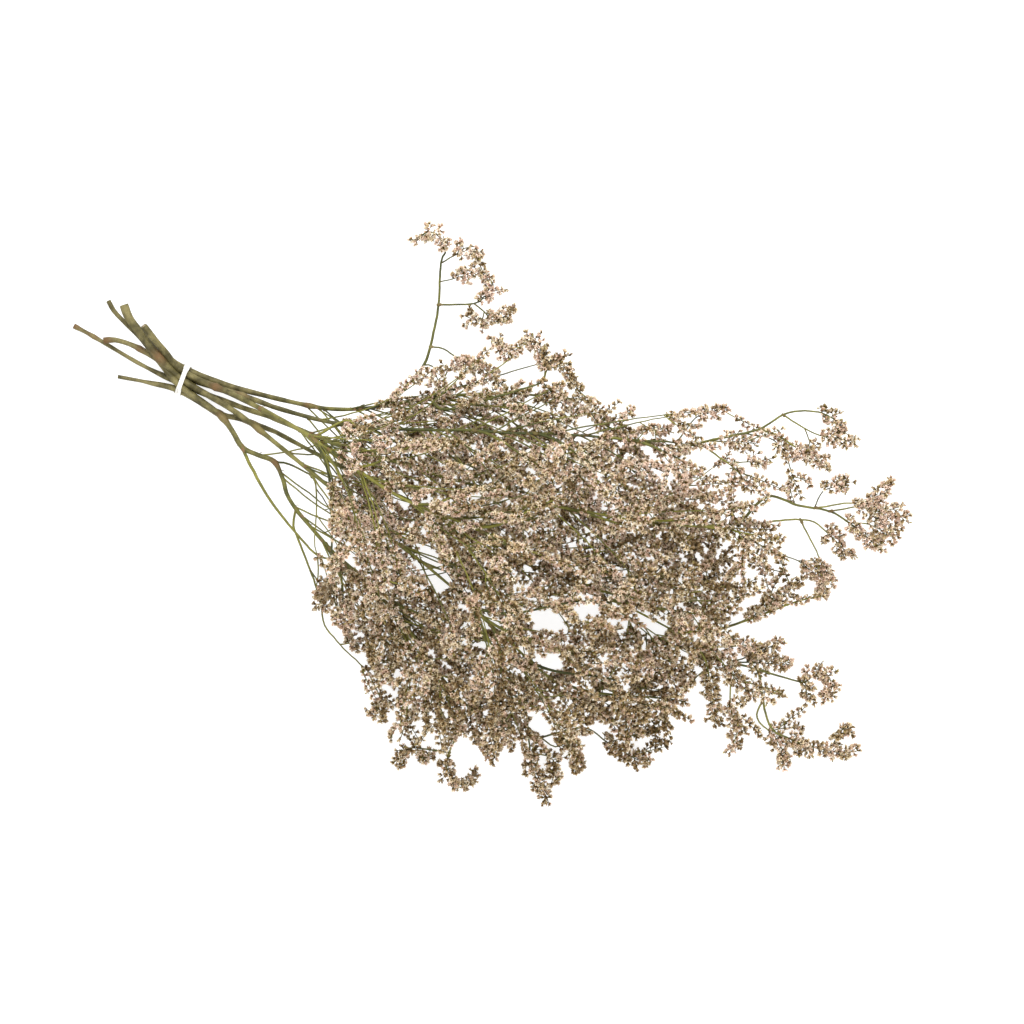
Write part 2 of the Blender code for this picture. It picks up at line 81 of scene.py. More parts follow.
# Each stem's route from its cut end, through the tie, to its top, the tip of each branch, the
# radius at the cut end and the places along X of its swollen nodes
STEMS = {
    "spray_upper": (
        ((-271, 38, 7), (-244, 31, 4.15), (-190, 32, 12), (-119, 44, 42), (-62, 73, 62),
         (-3, 98, 72), (50, 112, 74)),
        ((-90, 190, 62), (-37, 160, 58), (-26, 124, 74), (32, 134, 66), (52, 118, 92),
         (-37, 93, 92), (20, 81, 108), (-84, 62, 80), (-6, 76, 9)),
        2.2, (-146,),
    ),
    "spray_upper_right": (
        ((-312, 30, 11), (-304, 33.6, 11), (-288, 34.2, 9), (-266, 30, 6), (-244, 25.4, 4.15),
         (-190, 27, 19), (-119, 31, 58), (-39, 56, 98), (67, 88, 112), (154, 112, 100)),
        ((148, 138, 70), (243, 152, 78), (139, 93, 128), (197, 110, 96), (97, 97, 110),
         (77, 66, 150), (38, 52, 152), (135, 103, 12)),
        1.9, (-311, -284, -198),
    ),
    "spray_right": (
        ((-338, 33, 3), (-321, 30.5, 3), (-278, 22.6, 3.4), (-244, 19.8, 4.15), (-190, 19, 18),
         (-119, 18, 58), (12, 24, 94), (125, 42, 92), (215, 72, 80)),
        ((300, 107, 72), (264, 78, 10), (236, 112, 92), (203, 60, 108), (160, 56, 136),
         (121, 34, 158), (167, 39, 36), (90, 31, 12)),
        1.5, (-337, -321),
    ),
    "spray_lower_right": (
        ((-293, 8, 4), (-268, 12, 4), (-244, 14.2, 4.15), (-210, 8, 8), (-186, 10, 13),
         (-119, 4, 34), (44, -18, 62), (150, -26, 60), (225, -36, 46)),
        ((268, 34, 40), (293, -31, 36), (325, -63, 14), (283, -89, 11), (237, -79, 26),
         (233, -13, 84), (185, -10, 108), (138, -15, 124)),
        1.4, (-210, -183),
    ),
    "spray_lower": (
        ((-306, 61, 22), (-299, 53, 22), (-287, 45, 20), (-266, 32, 15), (-244, 22.6, 9.8),
         (-190, 12, 28), (-119, -12, 58), (2, -55, 88), (86, -90, 84), (148, -108, 62)),
        ((199, -77, 28), (178, -125, 14), (117, -131, 26), (121, -175, 9), (141, -78, 98),
         (95, -71, 126), (110, -26, 146), (66, -113, 92)),
        3.3, (-268, -176),
    ),
    "spray_left": (
        ((-319, 60, 13), (-312, 54, 13), (-302, 49, 13), (-287, 42, 12), (-266, 29, 11),
         (-244, 17, 9.8), (-210, 7, 15), (-196, -1, 18), (-184, -10, 20), (-170, -11, 22),
         (-157, -12, 24), (-146, -23, 27), (-137, -34, 30), (-113, -49, 34), (-82, -66, 39),
         (-52, -78, 44), (6, -112, 46), (45, -150, 34)),
        ((60, -189, 12), (10, -188, 9), (-20, -162, 14), (76, -150, 40), (24, -129, 76),
         (4, -84, 92), (-59, -119, 12), (-34, -78, 56)),
        1.8, (-206, -156),
    ),
    "spray_top": (
        ((-286, 51, 29), (-268, 40, 20), (-244, 28.2, 9.8), (-190, 24, 36), (-119, 12, 88),
         (-56, -4, 120), (20, -8, 140), (84, -10, 142)),
        ((-80, -83, 60), (-95, -28, 90), (-99, 6, 104), (-56, 37, 134), (-3, 21, 162),
         (-7, -32, 150), (51, -15, 168), (56, 35, 172)),
        2.6, (-218,),
    ),
}

# Shoots given one by one where single ones can be told apart: radius, the share that is bare,
# route
GUIDED = {
    "spray_upper": (
        (1.3, 0.8, ((-93, 66, 50), (-76, 91, 52), (-75, 110, 54), (-80, 142, 56), (-89, 172, 58),
                    (-89, 183, 60), (-96, 190, 62), (-106, 191, 64), (-112, 181, 66))),
        (0.6, 0.3, ((-89, 171, 64), (-81, 181, 63), (-74, 190, 61), (-61, 183, 60))),
        (0.5, 0.45, ((-85, 160, 62), (-75, 165, 61), (-66, 172, 60))),
        (0.8, 0.42, ((-80, 142, 60), (-55, 152, 59), (-50, 159, 58), (-45, 168, 58),
                     (-54, 176, 57), (-66, 178, 56))),
        (0.6, 0.3, ((-55, 152, 58), (-46, 149, 58), (-37, 145, 57), (-30, 151, 56),
                    (-25, 159, 56))),
        (0.5, 0.3, ((-46, 149, 58), (-46, 141, 56), (-58, 141, 55))),
        (0.7, 0.45, ((-75, 110, 54), (-65, 112, 56), (-51, 109, 59), (-38, 110, 61),
                     (-26, 106, 64), (-14, 99, 66))),
        (0.6, 0.35, ((-73, 94, 52), (-68, 97, 56), (-61, 88, 60), (-50, 78, 64))),
        (0.6, 0.35, ((-48, 90, 62), (-56, 98, 65), (-48, 107, 67), (-35, 109, 70))),
        (1.3, 0.97, ((-58, 63, 84), (-47, 69, 91), (-19, 88, 96), (3, 104, 96), (14, 113, 94))),
        (0.8, 0.28, ((14, 113, 73), (13, 123, 71), (6, 135, 69), (-2, 141, 68), (-11, 133, 66),
                     (-18, 126, 64), (-33, 131, 62))),
        (0.8, 0.3, ((14, 113, 73), (14, 123, 73), (14, 133, 73), (22, 132, 72), (34, 123, 72),
                    (45, 114, 72))),
        (0.7, 0.35, ((14, 113, 73), (23, 109, 72), (32, 104, 72), (45, 101, 71), (55, 104, 70))),
        (0.6, 0.8, ((-25, 83, 66), (7, 87, 69), (22, 109, 72))),
    ),
    "spray_upper_right": (
        (1.1, 0.8, ((133, 109, 96), (158, 122, 93), (179, 136, 91), (192, 152, 88),
                    (203, 159, 86), (217, 163, 83), (229, 162, 81), (242, 155, 78))),
        (0.7, 0.55, ((193, 152, 88), (211, 148, 84), (225, 147, 81), (237, 150, 78),
                     (249, 150, 74))),
        (0.5, 0.5, ((211, 148, 82), (218, 140, 79), (219, 129, 76))),
        (0.8, 0.5, ((179, 136, 90), (193, 136, 86), (211, 132, 82), (224, 129, 78),
                    (237, 128, 74))),
        (0.6, 0.5, ((172, 122, 92), (189, 132, 87), (198, 129, 81), (210, 124, 76))),
        (0.7, 0.6, ((119, 117, 84), (131, 127, 79), (139, 134, 75), (148, 142, 70))),
        (0.8, 0.55, ((141, 109, 94), (164, 104, 91), (177, 99, 87), (189, 92, 84))),
        (0.5, 0.45, ((164, 104, 90), (180, 110, 87), (195, 118, 84))),
        (0.6, 0.25, ((148, 112, 96), (158, 118, 92), (169, 122, 88), (180, 125, 84))),
    ),
    "spray_right": (
        (1.2, 0.72, ((181, 88, 90), (202, 90, 86), (226, 92, 81), (250, 96, 77), (267, 93, 73),
                     (285, 87, 68), (298, 83, 64))),
        (0.7, 0.42, ((250, 96, 78), (264, 104, 76), (277, 115, 74), (285, 126, 72),
                     (285, 133, 70))),
        (0.7, 0.4, ((237, 100, 82), (265, 108, 79), (283, 108, 76), (295, 114, 73),
                    (306, 109, 70))),
        (0.6, 0.35, ((267, 93, 76), (281, 97, 73), (294, 96, 69), (305, 96, 66))),
        (0.6, 0.35, ((273, 110, 76), (281, 104, 73), (294, 102, 71), (304, 102, 68))),
        (0.9, 0.72, ((201, 71, 60), (218, 77, 55), (233, 83, 50), (244, 85, 45), (258, 80, 40),
                     (269, 75, 35), (278, 72, 30))),
        (0.7, 0.55, ((233, 83, 50), (243, 74, 44), (253, 65, 38), (262, 55, 32), (269, 45, 26),
                     (268, 34, 20))),
        (0.7, 0.8, ((192, 65, 56), (205, 61, 50), (230, 54, 43), (243, 53, 36), (264, 47, 30))),
        (0.5, 0.8, ((243, 53, 44), (256, 58, 36))),
        (0.5, 0.45, ((237, 99, 84), (240, 108, 82), (249, 116, 80), (257, 122, 78))),
    ),
    "spray_lower_right": (
        (0.9, 0.5, ((250, -36, 46), (268, -33, 44), (279, -31, 42), (285, -20, 40),
                    (294, -21, 38), (300, -30, 36), (297, -40, 34))),
        (0.5, 0.35, ((275, -32, 42), (282, -37, 39), (285, -45, 36))),
        (1.0, 0.55, ((245, -63, 30), (265, -71, 27), (284, -76, 24), (304, -76, 20),
                     (323, -73, 17), (335, -68, 14))),
        (0.5, 0.4, ((314, -65, 20), (318, -58, 18), (324, -52, 16))),
        (0.8, 0.5, ((240, -62, 26), (255, -70, 22), (273, -79, 18), (284, -89, 15),
                    (284, -98, 11))),
        (0.7, 0.4, ((218, -57, 40), (232, -68, 35), (243, -82, 29), (245, -100, 24))),
        (0.6, 0.4, ((280, -76, 22), (290, -80, 18), (298, -79, 14))),
        (0.8, 0.3, ((190, -31, 54), (203, -43, 48), (212, -58, 42), (220, -72, 36),
                    (226, -84, 30))),
        (0.7, 0.3, ((205, -33, 50), (220, -42, 46), (234, -50, 42), (246, -56, 38))),
        (0.7, 0.3, ((198, -33, 52), (214, -26, 54), (228, -20, 56), (240, -22, 57))),
        (0.7, 0.3, ((212, -12, 58), (224, 2, 56), (232, 14, 54), (236, 24, 52))),
        (0.6, 0.2, ((228, 6, 54), (236, 17, 50), (243, 29, 46), (248, 40, 43))),
        (0.7, 0.25, ((222, -36, 46), (236, -31, 44), (250, -27, 42), (263, -23, 40))),
        (0.6, 0.25, ((222, -36, 46), (236, -24, 46), (246, -14, 46), (252, -10, 45))),
    ),
    "spray_lower": (
        (1.1, 0.66, ((71, -105, 44), (85, -122, 37), (93, -136, 30), (102, -155, 23),
                     (110, -168, 16), (120, -177, 10), (127, -184, 8))),
        (0.7, 0.45, ((93, -136, 30), (105, -140, 26), (118, -143, 23), (126, -138, 19),
                     (136, -144, 16), (141, -154, 12))),
        (0.6, 0.35, ((101, -154, 18), (113, -152, 15), (123, -156, 12), (125, -170, 9))),
        (0.8, 0.55, ((113, -119, 32), (133, -122, 27), (153, -126, 22), (168, -129, 17),
                     (182, -131, 13), (190, -128, 11))),
    ),
    "spray_left": (
        (1.4, 0.97, ((-184, -10, 20), (-179, -16, 20), (-166, -28, 22), (-150, -41, 23),
                     (-131, -53, 25), (-109, -65, 27), (-99, -68, 28), (-88, -66, 30))),
        (0.9, 0.97, ((-157, -12, 24), (-146, -10, 26), (-128, -12, 29), (-114, -13, 32),
                     (-97, -14, 34))),
        (0.6, 0.6, ((-103, -68, 28), (-97, -80, 27), (-93, -93, 25), (-84, -104, 24))),
        (0.5, 0.6, ((-99, -68, 28), (-90, -80, 28), (-84, -92, 27))),
        (1.0, 0.97, ((-132, -43, 28), (-127, -53, 26), (-117, -65, 23), (-104, -80, 21),
                     (-89, -99, 19), (-79, -116, 18), (-63, -126, 17), (-48, -133, 16),
                     (-36, -138, 15))),
        (0.6, 0.3, ((-104, -80, 22), (-92, -88, 26), (-80, -92, 29), (-68, -94, 31))),
        (0.6, 0.3, ((-63, -126, 17), (-54, -122, 22), (-42, -118, 26))),
        (0.7, 0.9, ((-127, -8, 44), (-121, -18, 41), (-113, -39, 38), (-106, -62, 35),
                    (-97, -71, 32))),
        (0.5, 0.9, ((-119, -21, 40), (-108, -29, 39), (-100, -38, 38))),
        (0.5, 0.9, ((-112, -40, 38), (-94, -52, 36), (-87, -59, 34))),
        (0.8, 0.4, ((29, -166, 24), (44, -181, 21), (51, -192, 18), (61, -197, 16),
                    (66, -189, 13), (67, -182, 10))),
        (0.7, 0.4, ((9, -171, 22), (14, -182, 18), (11, -191, 14), (7, -196, 10))),
        (0.6, 0.4, ((14, -182, 18), (24, -186, 14), (31, -184, 10))),
        (0.6, 0.4, ((-7, -150, 26), (-13, -162, 20), (-24, -166, 13))),
    ),
    "spray_top": (
        (1.4, 0.97, ((-180, 23, 30), (-165, 20, 44), (-146, 17, 57), (-127, 16, 70),
                     (-108, 15, 84))),
        (1.2, 0.97, ((-146, 17, 60), (-130, 11, 67), (-118, 9, 73), (-101, 3, 80))),
        (1.1, 0.97, ((-128, 42, 56), (-115, 36, 67), (-102, 31, 77), (-87, 26, 88))),
    ),
}


class Tone(Enum):
    """The kinds of flower in the bunch, each with its first row of the flower map."""

    ROSY = 0
    CREAM = 2
    TAN = 4
    WITHERED = 6
    BUD = 7


class Rank(Enum):
    """How far from the stem's axis a shoot is."""

    AXIS = 0
    BRANCH = 1
    TWIG = 2
    SPIKE = 3


@dataclass
class Shoot:
    """A tapered woody path, the side its flowers are on, and the share that is in flower."""

    points: list
    radii: list
    outer: Vector
    rank: Rank
    flowering_from: float = 1.0
    sap: float = 0.5
    guided: bool = False
    knots: tuple = ()

    def length(self) -> float:
        """The length of the path."""
        return sum((b - a).length for a, b in zip(self.points, self.points[1:]))

    def station(self, share: float) -> tuple[Vector, Vector]:
        """The place and direction at a share of the way along the path.

        Args:
            share: Share of the path's length, from 0 at its root to 1 at its tip.

        Returns:
            The place, and the direction of the path there.
        """
        left = share * self.length()
        for a, b in zip(self.points, self.points[1:]):
            length = (b - a).length
            if left <= length:
                return a + (b - a) * (left / length), (b - a).normalized()
            left -= length
        return self.points[-1].copy(), (self.points[-1] - self.points[-2]).normalized()


def square_to(direction: Vector, outer: Vector) -> Vector:
    """The part of outer that is square to a direction.

    Args:
        direction: A unit vector.
        outer: The side to keep to.

    Returns:
        A unit vector square to the direction.
    """
    side = outer - direction * outer.dot(direction)
    if side.length < 1e-4:
        side = direction.orthogonal()
    return side.normalized()


def frames_along(points: list, outer: Vector) -> list:
    """The direction and the outer side at each point of a path, without twist.

    Args:
        points: The path.
        outer: The side to start from.

    Returns:
        A pair of unit vectors for each point.
    """
    found = []
    for n in range(len(points)):
        before, after = points[max(n - 1, 0)], points[min(n + 1, len(points) - 1)]
        along = (after - before).normalized()
        outer = square_to(along, outer)
        found.append((along, outer))
    return found


def smooth_route(points: tuple, step: float) -> list:
    """Points about a step apart on the Catmull-Rom curve through the given ones.

    Args:
        points: Places the curve passes through.
        step: Rough distance between the points returned.

    Returns:
        The points of the curve as vectors.
    """
    knots = [Vector(p) for p in points]
    knots = [2 * knots[0] - knots[1], *knots, 2 * knots[-1] - knots[-2]]
    route = []
    for a, b, c, d in zip(knots, knots[1:], knots[2:], knots[3:]):
        pieces = max(1, round((c - b).length / step))
        for n in range(pieces):
            t = n / pieces
            route.append(
                0.5 * (2 * b + (c - a) * t + (2 * a - 5 * b + 4 * c - d) * t * t
                       + (3 * b - a - 3 * c + d) * t ** 3)
            )
    return [*route, knots[-2]]


def bezier(start: Vector, leave: Vector, arrive: Vector, end: Vector, share: float) -> Vector:
    """The place at a share of the way along a cubic curve.

    Args:
        start: Where the curve starts.
        leave: The point that it leaves towards.
        arrive: The point that it arrives from.
        end: Where it ends.
        share: Share of the way along.

    Returns:
        The place.
    """
    rest = 1 - share
    return (rest ** 3 * start + 3 * rest * rest * share * leave
            + 3 * rest * share * share * arrive + share ** 3 * end)


def taper(count: int, first: float, last: float) -> list:
    """That many radii, thinning evenly."""
    return [first + (last - first) * n / (count - 1) for n in range(count)]


def unsettle(points: list, chosen: range, most: float, rng: random.Random) -> None:
    """Moves some points of a path a little, so that it isn't smooth.

    Args:
        points: The path.
        chosen: Which of its points move.
        most: How far they move at most, each way.
        rng: Source of the moves.
    """
    for n in chosen:
        points[n] = points[n] + Vector([rng.uniform(-most, most) for _ in range(3)])


class Pile:
    """Triangles gathered from many small forms, with named numbers kept at each vertex."""

    def __init__(self, *marks: str) -> None:
        """Starts an empty pile.

        Args:
            marks: Names of the numbers that each vertex carries.
        """
        self.marks = {name: [] for name in marks}
        self.vertices: list = []
        self.triangles: list = []
        self.maps: list = []
        self.count = 0

    def add(self, vertices: np.ndarray, triangles: np.ndarray,
            corners: np.ndarray | None = None, **marks: float | np.ndarray) -> None:
        """Adds one form, or an array of forms already numbered together.

        Args:
            vertices: Places in millimetres, one row each.
            triangles: Vertex numbers within this form, three a row.
            corners: Place on the map of each triangle's corners, if the form has one.
            marks: A number, or one number a vertex, for each of the pile's marks.
        """
        self.vertices.append(vertices)
        self.triangles.append(triangles + self.count)
        if corners is not None:
            self.maps.append(corners.reshape(-1, 2))
        for name, kept in self.marks.items():
            kept.append(np.broadcast_to(np.asarray(marks[name], np.float32), (len(vertices),)))
        self.count += len(vertices)

    def build(self, name: str, material: bpy.types.Material, smooth: bool) -> bpy.types.Object:
        """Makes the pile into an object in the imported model's frame.

        Args:
            name: Name of the piece.
            material: Its finish.
            smooth: Whether its faces are shaded smooth.

        Returns:
            The new object, linked to the scene.
        """
        places = np.concatenate(self.vertices) + np.array(CENTRED)
        triangles = np.concatenate(self.triangles).astype(np.int32)
        mesh = bpy.data.meshes.new(name)
        mesh.vertices.add(len(places))
        mesh.vertices.foreach_set("co", (places * MM).astype(np.float32).ravel())
        mesh.loops.add(triangles.size)
        mesh.loops.foreach_set("vertex_index", triangles.ravel())
        mesh.polygons.add(len(triangles))
        mesh.polygons.foreach_set("loop_start", np.arange(0, triangles.size, 3, dtype=np.int32))
        mesh.polygons.foreach_set("use_smooth", np.full(len(triangles), smooth))
        if self.maps:
            layer = mesh.uv_layers.new(name=FLOWER_MAP)
            layer.uv.foreach_set("vector", np.concatenate(self.maps).astype(np.float32).ravel())
        for mark, kept in self.marks.items():
            made = mesh.attributes.new(mark, "FLOAT", "POINT")
            made.data.foreach_set("value", np.concatenate(kept))
        mesh.update(calc_edges=True)
        mesh.validate()
        mesh.materials.append(material)
        piece = bpy.data.objects.new(name, mesh)
        bpy.context.scene.collection.objects.link(piece)
        LOG.info("%s: %d triangles", name, len(triangles))
        return piece


def tube_form(points: list, radii: list, sides: int, outer: Vector,
              ribs: float = 0.0) -> tuple[np.ndarray, np.ndarray]:
    """A closed tube round a path.

    Args:
        points: The path.
        radii: Radius at each point.
        sides: Number of sides.
        outer: Side that the first corner of each ring faces.
        ribs: How far every other corner stands proud, as a share of the radius.

    Returns:
        Its vertices, ring by ring with the two end points last, and its triangles.
    """
    rings = len(points)
    turn = np.arange(sides) * math.tau / sides
    swell = 1 + ribs * np.where(np.arange(sides) % 2, -1, 1)
    held = frames_along(points, outer)
    centres = np.array(points)
    up = np.array([frame_up for _, frame_up in held])
    across = np.array([along.cross(frame_up) for along, frame_up in held])
    ring = (np.cos(turn) * swell)[None, :, None] * up[:, None] + (
        np.sin(turn) * swell)[None, :, None] * across[:, None]
    vertices = centres[:, None] + np.array(radii)[:, None, None] * ring
    vertices = np.concatenate([vertices.reshape(-1, 3), centres[:1], centres[-1:]])
    low = (np.arange(rings - 1)[:, None] * sides + np.arange(sides)).ravel()
    following = (np.arange(rings - 1)[:, None] * sides + (np.arange(sides) + 1) % sides).ravel()
    walls = np.concatenate([
        np.stack([low, following, following + sides], 1),
        np.stack([low, following + sides, low + sides], 1),
    ])
    first = np.arange(sides)
    after = (first + 1) % sides
    last = (rings - 1) * sides
    caps = np.concatenate([
        np.stack([after, first, np.full(sides, rings * sides)], 1),
        np.stack([first + last, after + last, np.full(sides, rings * sides + 1)], 1),
    ])
    return vertices, np.concatenate([walls, caps])


class Cover:
    """How the flowers stand over the table so far, seen from above and in depth."""

    CELL = 5.0
    ROOM = 7.0
    # Middle and half widths of an oval, and the shares of them where the flowers thin out
    THICKEST = (56.0, -30.0)
    THICK_ACROSS = (175.0, 140.0)
    THICK_UNTIL, THIN_FROM = 0.75, 1.25
    THINNEST = 0.24
    # What each flower counts in its own cell, in the cells round it and in its own room
    OWN_CELL, NEAR_CELLS, SAME_ROOM = 2.0, 0.5, 3.0
    # What it counts that a place is outside the outline, or over a clearing
    OUTSIDE, OVER_CLEARING = 30, 90

    def __init__(self) -> None:
        """Starts with a bare table."""
        self.over: dict = {}
        self.room: dict = {}

    def add(self, places: list) -> None:
        """Counts flowers at these places.

        Args:
            places: Where they stand.
        """
        for place in places:
            key, room = self.key(place), self.room_of(place)
            self.over[key] = self.over.get(key, 0) + 1
            self.room[room] = self.room.get(room, 0) + 1

    def key(self, place: Vector) -> tuple[int, int]:
        """The cell of the table under a place."""
        return int(place.x // self.CELL), int(place.y // self.CELL)

    def room_of(self, place: Vector) -> tuple:
        """The cube of space that a place is in."""
        return tuple(int(c // self.ROOM) for c in place)

    def wanted(self, place: Vector) -> float:
        """How thick the flowers stand at a place, from the thin edge of the bunch to 1.

        Args:
            place: The place.

        Returns:
            A share, from THINNEST to 1.
        """
        away = math.hypot((place.x - self.THICKEST[0]) / self.THICK_ACROSS[0],
                          (place.y - self.THICKEST[1]) / self.THICK_ACROSS[1])
        thick = (self.THIN_FROM - away) / (self.THIN_FROM - self.THICK_UNTIL)
        return self.THINNEST + (1 - self.THINNEST) * min(max(thick, 0.0), 1.0)

    def crowding(self, places: list) -> float:
        """How crowded these places already are, more so outside the outline and in clearings.

        Args:
            places: Where flowers would come.

        Returns:
            The mean crowding.
        """
        total = 0.0
        for place in places:
            i, j = self.key(place)
            here = self.OWN_CELL * self.over.get((i, j), 0)
            here += self.NEAR_CELLS * sum(self.over.get((i + a, j + b), 0)
                                          for a in (-1, 0, 1) for b in (-1, 0, 1))
            here += self.SAME_ROOM * self.room.get(self.room_of(place), 0)
            total += here / self.wanted(place)
            if not inside_outline(place):
                total += self.OUTSIDE
            if in_clearing(place):
                total += self.OVER_CLEARING
        return total / len(places)


def towards_edge(x: float | np.ndarray, y: float | np.ndarray) -> float | np.ndarray:
    """How far out places are, from 0 in the thick of the bunch to 0.5 at its edge.

    Args:
        x: Their places along the bunch.
        y: Their places across it.

    Returns:
        How far out they are, as a share of the bunch's half widths.
    """
    (middle_x, middle_y), (half_x, half_y) = Cover.THICKEST, Cover.THICK_ACROSS
    away = np.hypot((x - middle_x) / half_x, (y - middle_y) / half_y)
    return np.clip(away - Cover.THICK_UNTIL, 0, Cover.THIN_FROM - Cover.THICK_UNTIL)


def in_clearing(place: Vector) -> bool:
    """Whether a place is over one of the clearings."""
    return any(math.hypot(place.x - x, place.y - y) < radius for x, y, radius in CLEARINGS)


def inside_outline(place: Vector) -> bool:
    """Whether a place is inside the outline, by counting the edges beyond it.

    Args:
        place: The place.

    Returns:
        True inside.
    """
    inside = False
    for (x0, y0), (x1, y1) in zip(OUTLINE, OUTLINE[1:] + OUTLINE[:1]):
        if (y0 > place.y) != (y1 > place.y):
            if place.x < x0 + (place.y - y0) * (x1 - x0) / (y1 - y0):
                inside = not inside
    return inside


@dataclass
class Habit:
    """How a stem branches: the thickness of its shoots and how its flowering spikes sit."""

    lowest: float = 2.6
    # Radii of the axis at places along X, and where the radius of its cut end gives way to them
    stem_radii: tuple = ((-252.0, 2.5), (-238.0, 2.4), (-190.0, 2.0), (-145.0, 1.6),
                         (-110.0, 1.4), (0.0, 1.0), (260.0, 0.6))
    cut_part: float = -274.0
    # Length and radius of the top of the axis, and reach and swelling of a node on it
    stem_top: tuple = (60.0, 0.4)
    knot: tuple = (3.4, 0.34)
    # Depth, pitch and unevenness of the ripple on the axis
    ripple: tuple = (0.05, 0.9, 0.8)
    # Steps of the axis, then its straight part and each of its bends in steps, and their size
    axis_step: float = 3.6
    straight_points: int = 24
    bend_points: int = 8
    axis_bend: float = 1.1
    axis_flowering_from: float = 0.93
    branch_radius: float = 1.25
    branch_top_radius: float = 0.6
    branch_step: float = 5.0
    branch_bend: float = 0.5
    # How far back from its nearest place to the axis a branch leaves it
    leaves_behind: float = 24.0
    leaves_by_distance: float = 0.6
    leaves_at_most: float = 58.0
    leaves_latest: float = 0.97
    bare_until: float = -214.0
    # How a branch sets out: along the axis, towards its tip, and how far it keeps to that
    set_out: tuple = (0.85, 0.45, 0.35)
    # How it comes in to its tip: upwards, along the axis, and from how far
    come_in: tuple = (0.28, 0.18, 0.33)
    # How much of a branch is in flower, and the largest share of it
    in_flower: float = 24.0
    in_flower_share: float = 0.5
    # Shoots given one by one: what height counts in finding their bearer, and how they unsettle
    height_counts: float = 0.3
    guided_step: float = 4.0
    guided_bend: float = 0.35
    # Least radius of the top of such a shoot, and its share of the radius at the root
    guided_top: tuple = (0.35, 0.5)
    # Thin branches: where they leave the axis, and how they turn, rise and arch from it
    thin_radius: tuple = (0.66, 0.34)
    thin_length: tuple = (55.0, 120.0)
    thin_leaves: tuple = (0.34, 0.80)
    thin_angle: tuple = (0.2, 0.75)
    thin_rise: tuple = (-0.35, 0.40)
    thin_arch: float = 0.22
    thin_ahead: float = 0.25
    thin_step: float = 6.5
    thin_bend: float = 0.45
    thin_flowering_from: float = 0.86
    thin_sap: float = 0.8
    # Sprigs, and the share of their length that they start with and lose along their bearer
    sprig_radius: tuple = (0.42, 0.26)
    sprig_length: tuple = (4.0, 11.0)
    sprig_shortens: tuple = (1.25, 0.75)
    sprig_step: tuple = (2.4, 5.6)
    sprig_roll: tuple = (-0.9, 0.9)
    sprig_rise: tuple = (-0.2, 0.9)
    sprig_droop: float = 0.12
    sprig_points: int = 5
    sprig_flowering_from: float = 0.25
    tip_left_free: float = 3.0
    spike_radius: float = 0.55
    spike_top_radius: float = 0.28
    spike_stalk: tuple = (5.0, 14.0)
    spike_length: tuple = (17.0, 27.0)
    spike_angle: tuple = (math.radians(32), math.radians(62))
    spike_pieces: int = 7
    # How far a spike arches, and how its fall and its crown share in that
    spike_arch: float = 4.0
    spike_curve: tuple = (0.9, 0.35)
    # Where spikes sit on a branch and on a twig, and the latest start on a shoot with a given
    # route
    on_branch: tuple = (0.30, 0.97)
    on_twig: tuple = (0.2, 0.6)
    on_guided_from: float = 0.9
    # Shares that the stalk and the rest keep of a spike on a twig
    smaller_on_twig: tuple = (0.6, 0.8)

    def axis(self, route: tuple, cut_radius: float, knots: tuple,
             rng: random.Random) -> Shoot:
        """The woody axis of a stem, slightly bent and swollen at its nodes.

        Args:
            route: Places it passes through.
            cut_radius: Its radius at the cut end.
            knots: Places along X of its swollen nodes.
            rng: Source of the small bends.

        Returns:
            The axis.
        """
        points = smooth_route(route, self.axis_step)
        bends, bend = [0.0] * 4, self.axis_bend
        for n in range(self.straight_points, len(points) - 1):
            if n % self.bend_points == 0:
                bends = [rng.uniform(-bend, bend) for _ in range(2)] + bends[:2]
            t = n % self.bend_points / self.bend_points
            points[n] = points[n] + Vector((0, bends[0] * t + bends[2] * (1 - t),
                                            bends[1] * t + bends[3] * (1 - t)))
        at, thick = zip((self.cut_part, cut_radius), *self.stem_radii)
        before_top, top = self.stem_top
        reach, swell = self.knot
        depth, pitch, uneven = self.ripple
        radii = []
        for n, point in enumerate(points):
            radius = float(np.interp(point.x, at, thick))
            radius = top + (radius - top) * min((points[-1] - point).length / before_top, 1.0)
            radius *= 1 + swell * sum(math.exp(-((point.x - x) / reach) ** 2) for x in knots)
            radii.append(radius * (1 + depth * math.sin(pitch * n + rng.uniform(0, uneven))))
        return Shoot(points, radii, UP, Rank.AXIS, self.axis_flowering_from, rng.random(),
                     knots=knots)

    def branch(self, axis: Shoot, tip: Vector, rng: random.Random) -> Shoot:
        """The branch to a tip, arched away from its stem.

        Args:
            axis: The stem's axis.
            tip: Where the branch ends.
            rng: Source of its small unevenness.

        Returns:
            The branch.
        """
        lengths = [0.0]
        for a, b in zip(axis.points, axis.points[1:]):
            lengths.append(lengths[-1] + (b - a).length)
        nearest = min(range(len(axis.points)), key=lambda n: (axis.points[n] - tip).length)
        aside = (axis.points[nearest] - tip).length
        leaves = lengths[nearest] - min(
            self.leaves_behind + self.leaves_by_distance * aside, self.leaves_at_most)
        first = next(at for at, point in zip(lengths, axis.points) if point.x > self.bare_until)
        share = min(max(leaves, first), self.leaves_latest * lengths[-1]) / lengths[-1]
        start, forward = axis.station(share)
        reach = (tip - start).length
        towards = (tip - start).normalized()
        ahead, aim, pull = self.set_out
        leave = start + (ahead * forward + aim * towards).normalized() * reach * pull
        droop, ahead, pull = self.come_in
        arrive = tip - (towards - droop * UP + ahead * forward).normalized() * reach * pull
        count = max(8, round(reach / self.branch_step))
        points = [bezier(start, leave, arrive, tip, n / count) for n in range(count + 1)]
        unsettle(points, range(2, count, 3), self.branch_bend, rng)
        radii = taper(len(points), self.branch_radius, self.branch_top_radius)
        flowering_from = 1 - min(self.in_flower_share, self.in_flower / reach)
        return Shoot(points, radii, UP, Rank.BRANCH, flowering_from, rng.random())

